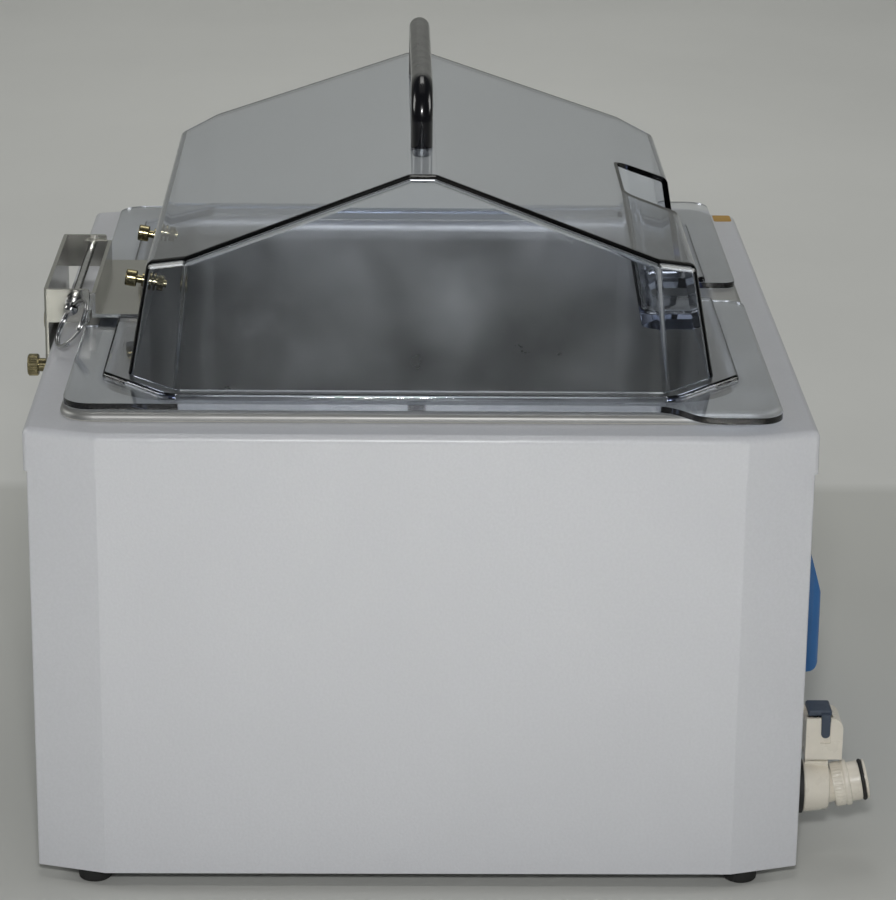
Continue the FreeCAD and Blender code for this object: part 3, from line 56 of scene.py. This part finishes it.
class Surface:
    """A material with one Principled shader, and short ways to add nodes to it."""

    def __init__(self, name, colour, roughness, metallic=0.0):
        self.material = bpy.data.materials.new(name)
        self.material.use_nodes = True
        self.tree = self.material.node_tree
        self.shader = self.tree.nodes["Principled BSDF"]
        self.shader.inputs["Base Color"].default_value = (*colour, 1)
        self.shader.inputs["Roughness"].default_value = roughness
        self.shader.inputs["Metallic"].default_value = metallic
        self.colour = colour
        self.place = self.add("ShaderNodeTexCoord").outputs["Object"]

    def add(self, kind, **values):
        node = self.tree.nodes.new(kind)
        for key, value in values.items():
            setattr(node, key, value)
        return node

    def link(self, source, target):
        self.tree.links.new(source, target)

    def put(self, socket, value):
        if isinstance(value, bpy.types.NodeSocket):
            self.link(value, socket)
        else:
            socket.default_value = value

    def stretched(self, scale):
        """Object coordinates, scaled by three numbers."""
        mapping = self.add("ShaderNodeMapping")
        mapping.inputs["Scale"].default_value = scale
        self.link(self.place, mapping.inputs["Vector"])
        return mapping.outputs["Vector"]

    def noise(self, scale, detail=4.0, roughness=0.55, stretch=(1, 1, 1), distortion=0.0):
        node = self.add("ShaderNodeTexNoise")
        self.link(self.stretched(stretch), node.inputs["Vector"])
        node.inputs["Scale"].default_value = scale
        node.inputs["Detail"].default_value = detail
        node.inputs["Roughness"].default_value = roughness
        node.inputs["Distortion"].default_value = distortion
        return node.outputs["Fac"]

    def ranged(self, value, low, high, out_low=0.0, out_high=1.0):
        """value moved from low..high to out_low..out_high, and kept inside it."""
        node = self.add("ShaderNodeMapRange")
        self.link(value, node.inputs["Value"])
        ends = {"From Min": low, "From Max": high, "To Min": out_low, "To Max": out_high}
        for name, number in ends.items():
            node.inputs[name].default_value = number
        return node.outputs["Result"]

    def math(self, operation, first, second=0.0):
        node = self.add("ShaderNodeMath", operation=operation)
        self.put(node.inputs[0], first)
        self.put(node.inputs[1], second)
        return node.outputs["Value"]

    def mixed(self, factor, first, second):
        """Two colours mixed by a factor."""
        node = self.add("ShaderNodeMix", data_type="RGBA")
        self.link(factor, node.inputs["Factor"])
        for name, value in (("A", first), ("B", second)):
            socket = next(s for s in node.inputs if s.name == name and s.type == "RGBA")
            self.put(socket, (*value, 1) if isinstance(value, tuple) else value)
        return next(s for s in node.outputs if s.type == "RGBA")

    def coordinate(self, axis):
        """One of the object's own coordinates, "X", "Y" or "Z", in metres."""
        node = self.add("ShaderNodeSeparateXYZ")
        self.link(self.place, node.inputs["Vector"])
        return node.outputs[axis]

    def bump(self, value, depth, strength, before=None):
        """A normal bent by value, depth in metres, on top of the bump given as before."""
        node = self.add("ShaderNodeBump")
        node.inputs["Strength"].default_value = strength
        node.inputs["Distance"].default_value = depth
        self.link(value, node.inputs["Height"])
        if before is not None:
            self.link(before, node.inputs["Normal"])
        return node.outputs["Normal"]

    def use(self, name, value):
        """value drives the shader's socket of that name."""
        self.link(value, self.shader.inputs[name])

    def shade(self, factor):
        """The surface's own colour, times factor."""
        return tuple(channel * factor for channel in self.colour)


# ---------------------------------------------------------------- materials

# Nearly all values of a noise lie between these two.
MOST = (0.3, 0.7)

# How far a brushed surface's roughness swings, per metre of its lines' depth.
SWING_PER_RELIEF = 2000

POLYCARBONATE_IOR = 1.56
ACRYLIC_IOR = 1.49

# The tank's rolled lip starts at this height and is a little rougher above it.
RIM_LOW = 0.220
RIM_BLEND = 6 * MM


def powder_coat(name, colour):
    """Sprayed and baked paint: fine orange peel and faint cloudiness."""
    coat = Surface(name, colour, 0.42)
    cloud = coat.ranged(coat.noise(5, 5), *MOST)
    grain = coat.ranged(coat.noise(700, 2), 0.35, 0.65)
    tone = coat.mixed(cloud, coat.shade(0.97), coat.shade(1.02))
    coat.use("Base Color", coat.mixed(coat.math("MULTIPLY", grain, 0.35), tone, coat.shade(0.9)))
    coat.use("Roughness", coat.ranged(coat.noise(38, 4), *MOST, 0.34, 0.5))
    peel = coat.bump(coat.noise(900, 2), 0.00012, 0.5)
    coat.use("Normal", coat.bump(coat.noise(9, 2), 0.0006, 0.35, peel))
    coat.shader.inputs["Coat Weight"].default_value = 0.3
    coat.shader.inputs["Coat Roughness"].default_value = 0.22
    return coat.material


def brushed(name, colour, roughness, along, grain=1500, wave=0.0004, relief=0.00003):
    """Rolled or brushed sheet steel: fine lines along one axis over a soft waviness."""
    steel = Surface(name, colour, roughness, 1.0)
    stretch = tuple(0.02 if axis == along else 1.0 for axis in "xyz")
    lines = steel.noise(grain, 3, 0.6, stretch)
    cloud = steel.noise(14, 5, 0.6)
    swing = SWING_PER_RELIEF * relief
    broad = steel.ranged(cloud, *MOST, roughness - 0.05, roughness + 0.08)
    steel.use("Roughness", steel.math("ADD", steel.ranged(lines, *MOST, -swing, swing), broad))
    patches = steel.ranged(cloud, 0.32, 0.68)
    steel.use("Base Color", steel.mixed(patches, steel.shade(0.86), steel.shade(1.05)))
    fine = steel.bump(lines, relief, 0.35)
    steel.use("Normal", steel.bump(steel.noise(11, 3), wave, 0.5, fine))
    return steel.material


def tank_steel():
    """Deep-drawn stainless: soft cloudy pressed finish, fine level scratches and water stains."""
    steel = Surface("tank_steel", (0.50, 0.50, 0.485), 0.4, 1.0)
    cloud = steel.noise(15, 3, 0.5)
    fog = steel.noise(46, 4, 0.55)
    stain = steel.ranged(steel.noise(9, 4, 0.6), 0.42, 0.62)
    tone = steel.mixed(steel.ranged(cloud, *MOST), steel.shade(0.72), steel.shade(1.1))
    steel.use("Base Color", steel.mixed(stain, tone, steel.shade(0.95)))
    scratch = steel.ranged(steel.noise(90, 2, 0.5, (0.12, 0.12, 9)), 0.60, 0.78)
    patch = steel.ranged(steel.noise(7, 2), 0.4, 0.7)
    marks = steel.math("MULTIPLY", scratch, patch)
    lip = steel.ranged(steel.coordinate("Z"), RIM_LOW, RIM_LOW + RIM_BLEND, 0.0, 0.2)
    broad = steel.math("ADD", lip, steel.ranged(cloud, 0.34, 0.66, 0.29, 0.40))
    rough = steel.math("ADD", broad, steel.ranged(fog, *MOST, -0.03, 0.03))
    steel.use("Roughness", steel.math("ADD", rough, steel.math("MULTIPLY", marks, 0.08)))
    wave = steel.bump(steel.noise(8, 2), 0.0012, 0.3)
    steel.use("Normal", steel.bump(marks, 0.00003, 0.2, wave))
    steel.shader.inputs["Coat Weight"].default_value = 0.12
    steel.shader.inputs["Coat Roughness"].default_value = 0.2
    return steel.material


def clear_sheet():
    """Clear polycarbonate, 3 mm: bends light, tints it where the way through is long."""
    sheet = Surface("clear_sheet", (0.97, 0.985, 1.0), 0.02)
    shader = sheet.shader
    shader.inputs["Transmission Weight"].default_value = 1.0
    shader.inputs["IOR"].default_value = POLYCARBONATE_IOR
    scuff = sheet.ranged(sheet.noise(70, 4, 0.6, (0.3, 0.3, 5)), 0.64, 0.74)
    haze = sheet.ranged(sheet.noise(6, 4), 0.4, 0.75, 0.0, 0.02)
    sheet.use("Roughness", sheet.math("ADD", haze, sheet.math("MULTIPLY", scuff, 0.06)))
    sheet.use("Normal", sheet.bump(sheet.noise(5, 2), 0.0006, 0.15))
    tint = sheet.add("ShaderNodeVolumeAbsorption")
    tint.inputs["Color"].default_value = (0.12, 0.26, 0.66, 1)
    tint.inputs["Density"].default_value = 18.0
    output = sheet.tree.nodes["Material Output"]
    sheet.link(tint.outputs["Volume"], output.inputs["Volume"])
    open_way = sheet.add("ShaderNodeBsdfTransparent")
    open_way.inputs["Color"].default_value = (0.90, 0.92, 0.94, 1)
    path = sheet.add("ShaderNodeLightPath")
    mix = sheet.add("ShaderNodeMixShader")
    lit = sheet.math("MAXIMUM", path.outputs["Is Shadow Ray"], path.outputs["Is Diffuse Ray"])
    sheet.link(lit, mix.inputs["Fac"])
    sheet.link(shader.outputs["BSDF"], mix.inputs[1])
    sheet.link(open_way.outputs["BSDF"], mix.inputs[2])
    sheet.link(mix.outputs["Shader"], output.inputs["Surface"])
    return sheet.material


def moulded(name, colour, roughness, grain=0.00004, coat=0.0):
    """Moulded plastic or rubber: fine spark-eroded grain and uneven sheen."""
    plastic = Surface(name, colour, roughness)
    cloud = plastic.noise(45, 4)
    patches = plastic.ranged(cloud, *MOST)
    plastic.use("Base Color", plastic.mixed(patches, plastic.shade(0.93), plastic.shade(1.06)))
    sheen = plastic.ranged(plastic.noise(120, 4), *MOST, roughness - 0.06, roughness + 0.08)
    plastic.use("Roughness", sheen)
    plastic.use("Normal", plastic.bump(plastic.noise(2600, 2), grain, 0.5))
    plastic.shader.inputs["Coat Weight"].default_value = coat
    plastic.shader.inputs["Coat Roughness"].default_value = 0.08
    return plastic.material


def turned(name, colour, roughness):
    """Turned or plated metal: fine marks, small stains and handling wear."""
    metal = Surface(name, colour, roughness, 1.0)
    stain = metal.ranged(metal.noise(260, 4), 0.35, 0.65)
    metal.use("Base Color", metal.mixed(stain, metal.shade(0.78), metal.shade(1.08)))
    wear = metal.ranged(metal.noise(600, 3), *MOST, roughness - 0.07, roughness + 0.1)
    metal.use("Roughness", wear)
    metal.use("Normal", metal.bump(metal.noise(1400, 2), 0.00003, 0.4))
    return metal.material


def smoked_window():
    """Dark red acrylic over the display."""
    window = Surface("smoked_window", (0.10, 0.02, 0.02), 0.08)
    window.shader.inputs["Transmission Weight"].default_value = 0.85
    window.shader.inputs["IOR"].default_value = ACRYLIC_IOR
    window.use("Roughness", window.ranged(window.noise(40, 3), *MOST, 0.05, 0.14))
    return window.material


def felt(name, colour):
    """Matted wool: cloudy colour and a deep soft grain."""
    wool = Surface(name, colour, 0.95)
    tufts = wool.ranged(wool.noise(160, 5), *MOST)
    wool.use("Base Color", wool.mixed(tufts, wool.shade(0.7), wool.shade(1.1)))
    wool.use("Normal", wool.bump(wool.noise(420, 4), 0.0006, 0.8))
    return wool.material


# Each slot of the record, and its material.
FINISHES = {
    "white_powder_coat": powder_coat("white_coat", (0.70, 0.71, 0.745)),
    "zinc_sheet": brushed("zinc_sheet", (0.52, 0.54, 0.56), 0.38, "x"),
    "black_rubber": moulded("black_rubber", (0.018, 0.018, 0.018), 0.62, 0.0001),
    "zinc_screws": turned("zinc_screws", (0.56, 0.57, 0.59), 0.3),
    "amber_patch": moulded("amber_patch", (0.52, 0.29, 0.035), 0.45),
    "tank_stainless": tank_steel(),
    "seal_silicone": moulded("seal_silicone", (0.55, 0.54, 0.50), 0.5),
    "insulation_felt": felt("insulation_felt", (0.62, 0.58, 0.48)),
    "heater_silicone": moulded("heater_silicone", (0.42, 0.10, 0.05), 0.55, 0.0001),
    "steel_fittings": turned("steel_fittings", (0.55, 0.56, 0.57), 0.26),
    "cutout_ceramic": moulded("cutout_ceramic", (0.70, 0.67, 0.58), 0.4),
    "hose_silicone": moulded("hose_silicone", (0.68, 0.68, 0.64), 0.4),
    "coupling_cream": moulded("coupling_cream", (0.83, 0.78, 0.68), 0.3, coat=0.3),
    "latch_slate": moulded("latch_slate", (0.055, 0.075, 0.11), 0.45),
    "spring_steel": turned("spring_steel", (0.62, 0.62, 0.63), 0.18),
    "housing_blue": moulded("housing_blue", (0.035, 0.16, 0.42), 0.36, 0.00006, 0.15),
    "overlay_film": moulded("overlay_film", (0.62, 0.66, 0.70), 0.3),
    "smoked_window": smoked_window(),
    "display_digits": moulded("display_digits", (0.06, 0.012, 0.01), 0.4),
    "circuit_green": moulded("circuit_green", (0.02, 0.14, 0.06), 0.35),
    "key_grey": moulded("key_grey", (0.32, 0.34, 0.37), 0.5, 0.00006),
    "black_plastic": moulded("black_plastic", (0.022, 0.022, 0.024), 0.4),
    "sink_aluminium": brushed("sink_aluminium", (0.62, 0.63, 0.64), 0.35, "y"),
    "nickel_contacts": turned("nickel_contacts", (0.62, 0.58, 0.45), 0.2),
    "lead_sleeve": moulded("lead_sleeve", (0.03, 0.03, 0.032), 0.5),
    "hinge_stainless": brushed("hinge_stainless", (0.47, 0.465, 0.43), 0.2, "x", 500,
                               relief=0.000006),
    "brass_hardware": turned("brass_hardware", (0.30, 0.26, 0.15), 0.2),
    "bright_steel": turned("bright_steel", (0.55, 0.55, 0.55), 0.16),
    "clear_lid": clear_sheet(),
    "handle_black": moulded("handle_black", (0.004, 0.004, 0.006), 0.2, 0.00001, 0.5),
}


def finish_nodes():
    """Each CAD node gets the material of its slot; its mesh isn't touched."""
    for part in frame["record"]["subparts"]:
        slots = NODES[part["node"]].data.materials
        slots.clear()
        slots.append(FINISHES[part["material_slot"]])


# ---------------------------------------------------------------- small pieces

def built(name, mesh, finish):
    """The bmesh as an object with one material. The bmesh is freed."""
    bmesh.ops.recalc_face_normals(mesh, faces=mesh.faces)
    data = bpy.data.meshes.new(name)
    mesh.to_mesh(data)
    mesh.free()
    data.materials.append(finish)
    piece = bpy.data.objects.new(name, data)
    SCENE.collection.objects.link(piece)
    return piece


def solid_piece(name, outlines, place, depth, finish):
    """Flat outlines in a plane, each raised into a thin prism.

    place takes (across, up, out) to the frame.
    """
    mesh = bmesh.new()
    for outline in outlines:
        low = [mesh.verts.new(place(across, up, 0.0)) for across, up in outline]
        high = [mesh.verts.new(place(across, up, depth)) for across, up in outline]
        mesh.faces.new(low)
        mesh.faces.new(high)
        for index in range(len(outline)):
            following = (index + 1) % len(outline)
            mesh.faces.new([low[index], low[following], high[following], high[index]])
    return built(name, mesh, finish)


# The sloping control panel, as in the CAD.
PANEL_TILT = math.radians(15.72)
PANEL_OUT = Vector((0, -math.cos(PANEL_TILT), math.sin(PANEL_TILT)))
PANEL_UP = Vector((0, math.sin(PANEL_TILT), math.cos(PANEL_TILT)))
OVERLAY_LOW, OVERLAY_HIGH = (Vector(corner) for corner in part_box("control_overlay"))
OVERLAY_FACE = 0.35 * MM
PANEL_CENTRE = (OVERLAY_LOW + OVERLAY_HIGH) / 2 + PANEL_OUT * OVERLAY_FACE
KEY_UP = -17 * MM
KEY_FACE = 0.86 * MM
PRINT_DEPTH = 0.08 * MM


def on_panel(middle_x, middle_up, face):
    """A place() for solid_piece, on the sloping panel around a middle point."""
    def place(across, up, out):
        sideways = Vector((middle_x + across, 0, 0))
        return PANEL_CENTRE + sideways + PANEL_UP * (middle_up + up) + PANEL_OUT * (face + out)
    return place


SEGMENT = 4.6 * MM
SEGMENT_WIDTH = 1.1 * MM
SEGMENT_GAP = 0.25 * MM
LIT_SEGMENTS = {"3": "abcdg", "7": "abc", "0": "abcdef"}
DIGIT_PITCH = 9.5 * MM
POINT_RADIUS = 0.7 * MM
DISPLAY_UP = 9 * MM
DISPLAY_FACE = -2.25 * MM


def segment(middle, upright):
    """One bar of a digit: a hexagon with pointed ends."""
    half = SEGMENT / 2 - SEGMENT_GAP
    thick = SEGMENT_WIDTH / 2
    outline = [(-half, 0), (-half + thick, thick), (half - thick, thick),
               (half, 0), (half - thick, -thick), (-half + thick, -thick)]
    if upright:
        outline = [(up, across) for across, up in outline]
    return [(middle[0] + across, middle[1] + up) for across, up in outline]


def digit(figure, middle_x):
    """The lit bars of one figure, a to g as on a seven-segment display."""
    half = SEGMENT / 2
    bars = {"a": ((0, SEGMENT), False), "b": ((half, half), True), "c": ((half, -half), True),
            "d": ((0, -SEGMENT), False), "e": ((-half, -half), True), "f": ((-half, half), True),
            "g": ((0, 0), False)}
    outlines = []
    for name in LIT_SEGMENTS[figure]:
        (across, up), upright = bars[name]
        outlines.append(segment((middle_x + across, up), upright))
    return outlines


def round_outline(radius, centre=(0.0, 0.0), steps=32):
    return [(centre[0] + radius * math.cos(2 * math.pi * index / steps),
             centre[1] + radius * math.sin(2 * math.pi * index / steps)) for index in range(steps)]


def ring_outlines(radius, width, steps=32):
    """A flat ring, as a run of four-sided pieces."""
    inner = round_outline(radius - width, steps=steps)
    outer = round_outline(radius, steps=steps)
    return [[inner[index], outer[index], outer[(index + 1) % steps], inner[(index + 1) % steps]]
            for index in range(steps)]


def glowing_red():
    glow = Surface("lit_segments", (0.5, 0.02, 0.01), 0.4)
    glow.shader.inputs["Emission Color"].default_value = (1.0, 0.06, 0.03, 1)
    glow.shader.inputs["Emission Strength"].default_value = 8.0
    glow.use("Roughness", glow.ranged(glow.noise(400, 3), *MOST, 0.3, 0.5))
    return glow.material


def display_figures():
    """The figures 37.0, behind the window."""
    outlines = []
    for index, figure in enumerate("370"):
        outlines += digit(figure, (index - 1) * DIGIT_PITCH)
    outlines.append(round_outline(POINT_RADIUS, (DIGIT_PITCH / 2, -SEGMENT), 16))
    place = on_panel(0.0, DISPLAY_UP, DISPLAY_FACE)
    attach(solid_piece("display_figures", outlines, place, 0.2 * MM, glowing_red()), "casing")


ARROW_HALF = 2.4 * MM
ARROW_FOOT = 0.7 * ARROW_HALF
SET_RADIUS = 2.3 * MM
SET_WIDTH = 0.6 * MM


def key_symbols():
    """A printed sign on each key, which moves with it."""
    ink = moulded("symbol_ink", (0.03, 0.05, 0.10), 0.4)
    half = ARROW_HALF
    rise = [[(-half, -ARROW_FOOT), (half, -ARROW_FOOT), (0, half)]]
    fall = [[(-half, ARROW_FOOT), (half, ARROW_FOOT), (0, -half)]]
    symbols = {"set": ring_outlines(SET_RADIUS, SET_WIDTH), "down": fall, "up": rise}
    for name, outlines in symbols.items():
        low, high = (Vector(corner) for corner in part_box("key_" + name))
        place = on_panel((low.x + high.x) / 2, KEY_UP, KEY_FACE)
        piece = solid_piece(name + "_symbol", outlines, place, PRINT_DEPTH, ink)
        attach(piece, name + "_key")


# The power rocker, as in the CAD: its axis, its lean at rest and its two sloping faces.
ROCKER_AXIS = Vector((74.0, -188.1, 95.0)) * MM
ROCKER_REST = math.radians(8.0)
ROCKER_FACE = 4.9 * MM
ROCKER_SLOPE = math.atan2(1.2, 6.4)
MARK_UP = 3.4 * MM
BAR_HALF_WIDTH = 0.3 * MM
BAR_HALF_LENGTH = 1.6 * MM
OFF_RADIUS = 1.7 * MM
OFF_WIDTH = 0.5 * MM


def on_rocker(half_side):
    """A place() on the rocker's upper (1) or lower (-1) half."""
    turn = Matrix.Rotation(ROCKER_REST, 3, "X")
    lean = Matrix.Rotation(half_side * ROCKER_SLOPE, 3, "X")

    def place(across, up, out):
        flat = lean @ Vector((across, -out, up))
        return ROCKER_AXIS + turn @ (Vector((0, -ROCKER_FACE, half_side * MARK_UP)) + flat)
    return place


def rocker_marks():
    paint = moulded("mark_paint", (0.75, 0.75, 0.73), 0.45)
    bar = [[(-BAR_HALF_WIDTH, -BAR_HALF_LENGTH), (BAR_HALF_WIDTH, -BAR_HALF_LENGTH),
            (BAR_HALF_WIDTH, BAR_HALF_LENGTH), (-BAR_HALF_WIDTH, BAR_HALF_LENGTH)]]
    circle = ring_outlines(OFF_RADIUS, OFF_WIDTH)
    for name, outlines, half_side in (("mark_on", bar, 1), ("mark_off", circle, -1)):
        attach(solid_piece(name, outlines, on_rocker(half_side), 0.16 * MM, paint), "rocker")


# The ribbed band sits on the drain insert's sleeve, which is tilted up as in the CAD.
GRIP_RIBS = 36
RIB_POINTS = 6
GRIP_RADIUS = 10.55 * MM
GRIP_RISE = 0.4 * MM
GRIP_SINK = 0.1 * MM
GRIP_BEVEL = 0.4 * MM
GRIP_START = 3.0 * MM
GRIP_END = 7.5 * MM
BARREL_MOUTH = Vector((-168.0, -188.5, 36.5)) * MM
NOSE_TILT = math.radians(11)


def grip_band():
    """Ribbed band around the drain insert's sleeve."""
    outward = Vector((0, -math.cos(NOSE_TILT), math.sin(NOSE_TILT)))
    upward = Vector((0, math.sin(NOSE_TILT), math.cos(NOSE_TILT)))
    steps = GRIP_RIBS * RIB_POINTS
    sections = ((GRIP_START, 0.0), (GRIP_START + GRIP_BEVEL, 1.0),
                (GRIP_END - GRIP_BEVEL, 1.0), (GRIP_END, 0.0))
    mesh = bmesh.new()
    rows = []
    for along, rise in sections:
        row = []
        for index in range(steps):
            angle = 2 * math.pi * index / steps
            rib = 0.5 + 0.5 * math.cos(angle * GRIP_RIBS)
            radius = GRIP_RADIUS - GRIP_SINK + rise * (GRIP_SINK + GRIP_RISE * rib)
            spoke = Vector((math.cos(angle), 0, 0)) + upward * math.sin(angle)
            row.append(mesh.verts.new(BARREL_MOUTH + outward * along + spoke * radius))
        rows.append(row)
    for near, far in zip(rows, rows[1:]):
        for index in range(steps):
            following = (index + 1) % steps
            mesh.faces.new([near[index], near[following], far[following], far[index]])
    for face in mesh.faces:
        face.smooth = True
    band = built("grip_band", mesh, FINISHES["coupling_cream"])
    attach(band, "insert")


# The split ring hangs in the pin's hole. Its three directions are at right angles.
RING_HOLE = Vector((-68.6, 184.5, 248.0)) * MM
RING_RADIUS = 12.6 * MM
RING_WIRE = 0.66 * MM
RING_ACROSS = Vector((0.187, 0.602, -0.777)).normalized()
RING_NORMAL = RING_ACROSS.cross(Vector((-0.942, -0.115, -0.316))).normalized()
RING_REACH = RING_NORMAL.cross(RING_ACROSS)
# In turns: where the wire starts and ends, and where it steps over to the second coil.
RING_TURNS = (0.06, 1.94)
RING_STEP = (0.94, 1.06)
RING_POINTS = 144
RING_BEVEL_STEPS = 5


def split_ring():
    """Two turns of wire side by side, with one step from the first turn to the second."""
    centre = RING_HOLE + RING_REACH * RING_RADIUS
    curve = bpy.data.curves.new("split_ring", "CURVE")
    curve.dimensions = "3D"
    curve.bevel_depth = RING_WIRE
    curve.bevel_resolution = RING_BEVEL_STEPS
    curve.use_fill_caps = True
    spline = curve.splines.new("POLY")
    spline.points.add(RING_POINTS - 1)
    first, last = RING_TURNS
    step_from, step_to = RING_STEP
    for index in range(RING_POINTS):
        turn = first + (last - first) * index / (RING_POINTS - 1)
        share = min(max((turn - step_from) / (step_to - step_from), 0.0), 1.0)
        shift = RING_WIRE * (2 * share - 1)
        angle = 2 * math.pi * turn
        spoke = RING_REACH * math.cos(angle) + RING_ACROSS * math.sin(angle)
        point = centre + spoke * RING_RADIUS + RING_NORMAL * shift
        spline.points[index].co = (*point, 1)
    ring = bpy.data.objects.new("split_ring", curve)
    SCENE.collection.objects.link(ring)
    curve.materials.append(FINISHES["bright_steel"])
    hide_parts("pin_ring")
    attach(ring, "ring")


# ---------------------------------------------------------------- stage, lights and camera

FLOOR_REACH = 14.0
FAR_WALL = 3.6
FAR_WALL_HEIGHT = 3.0
PAPER_EDGE = 0.37
PAPER_BLEND = 0.02
PAPER_COLOUR = (0.74, 0.745, 0.72)
CLOTH_COLOUR = (0.60, 0.605, 0.575)


def backdrop():
    """A wide floor, cloth under the object and pale paper beyond it, up to a wall behind."""
    profile = [(-FLOOR_REACH, 0.0), (0.0, 0.0), (FAR_WALL, 0.0), (FAR_WALL, FAR_WALL_HEIGHT)]
    mesh = bmesh.new()
    rows = [[mesh.verts.new((x, y, z)) for x, z in profile] for y in (-FLOOR_REACH, FLOOR_REACH)]
    for index in range(len(profile) - 1):
        mesh.faces.new([rows[0][index], rows[0][index + 1], rows[1][index + 1], rows[1][index]])
    paper = Surface("paper", PAPER_COLOUR, 0.8)
    cloud = paper.ranged(paper.noise(2.2, 4), *MOST)
    mottle = paper.mixed(cloud, paper.shade(0.96), paper.shade(1.03))
    behind = paper.ranged(paper.coordinate("X"), PAPER_EDGE, PAPER_EDGE + PAPER_BLEND)
    paper.use("Base Color", paper.mixed(behind, CLOTH_COLOUR, mottle))
    sheet = built("backdrop", mesh, paper.material)


OBJECT_MIDDLE = (0.0, 0.0, 0.20)
WHITE = (1.0, 1.0, 1.0)
WARM = (1.0, 1.0, 0.97)
FULL_SPREAD = 180

# Name, place, aim, width and height, watts, colour, spread in degrees.
LAMPS = (
    ("key", (-1.62, 0.03, 0.90), OBJECT_MIDDLE, (0.14, 0.10), 9.8, WHITE, FULL_SPREAD),
    ("overhead", (0.1, 0.0, 2.2), OBJECT_MIDDLE, (1.6, 1.6), 1.2, (1.0, 0.99, 0.96), FULL_SPREAD),
    ("bench", (-1.0, 0.0, 1.3), (-0.95, 0.0, 0.0), (0.4, 0.7), 4.5, (1.0, 0.99, 0.97), 45),
    ("back", (1.2, 0.0, 2.2), (1.2, 0.0, 0.0), (1.6, 0.8), 4.2, WARM, 100),
    ("far", (2.0, 0.0, 2.6), (FAR_WALL, 0.0, 1.2), (1.6, 0.8), 15, WARM, FULL_SPREAD),
    ("side", (0.10, -1.5, 0.75), (0.38, 0.0, 0.10), (0.6, 0.6), 4.0, WARM, FULL_SPREAD),
    ("side", (0.10, 1.5, 0.75), (0.38, 0.0, 0.10), (0.6, 0.6), 4.0, WARM, FULL_SPREAD),
)
WORLD_COLOUR = (0.9, 0.95, 1.0, 1)
WORLD_STRENGTH = 0.06


def area_light(name, place, aim, size, power, colour, spread):
    data = bpy.data.lights.new(name, "AREA")
    data.shape = "RECTANGLE"
    data.size, data.size_y = size
    data.energy = power
    data.color = colour
    data.spread = math.radians(spread)
    lamp = bpy.data.objects.new(name, data)
    SCENE.collection.objects.link(lamp)
    lamp.location = place
    lamp.rotation_euler = (Vector(aim) - Vector(place)).to_track_quat("-Z", "Y").to_euler()


def studio():
    for lamp in LAMPS:
        area_light(*lamp)
    world = bpy.data.worlds.new("studio")
    world.use_nodes = True
    background = world.node_tree.nodes["Background"]
    background.inputs["Color"].default_value = WORLD_COLOUR
    background.inputs["Strength"].default_value = WORLD_STRENGTH
    SCENE.world = world
    SCENE.view_settings.view_transform = "Standard"


# Solved from the photograph's perspective.
CAMERA_PLACE = Vector((-1.623825, 0.028394, 0.696309))
CAMERA_YAW = math.radians(1.163)
CAMERA_PITCH = math.radians(18.517)
CAMERA_ROLL = math.radians(0.639)
CAMERA_LENS = 130.27
CAMERA_SENSOR = 36.0
CAMERA_NEAR = 0.05


def camera():
    forward = Vector((math.cos(CAMERA_YAW) * math.cos(CAMERA_PITCH),
                      -math.sin(CAMERA_YAW) * math.cos(CAMERA_PITCH), -math.sin(CAMERA_PITCH)))
    level = Vector((-math.sin(CAMERA_YAW), -math.cos(CAMERA_YAW), 0))
    upward = level.cross(forward)
    right = math.cos(CAMERA_ROLL) * level + math.sin(CAMERA_ROLL) * upward
    top = math.cos(CAMERA_ROLL) * upward - math.sin(CAMERA_ROLL) * level
    data = bpy.data.cameras.new("camera")
    data.lens = CAMERA_LENS
    data.sensor_width = CAMERA_SENSOR
    data.clip_start = CAMERA_NEAR
    viewer = bpy.data.objects.new("camera", data)
    SCENE.collection.objects.link(viewer)
    viewer.matrix_world = Matrix((
        (right.x, top.x, -forward.x, CAMERA_PLACE.x),
        (right.y, top.y, -forward.y, CAMERA_PLACE.y),
        (right.z, top.z, -forward.z, CAMERA_PLACE.z),
        (0, 0, 0, 1),
    ))
    SCENE.camera = viewer


finish_nodes()
display_figures()
key_symbols()
rocker_marks()
grip_band()
split_ring()
backdrop()
studio()
camera()
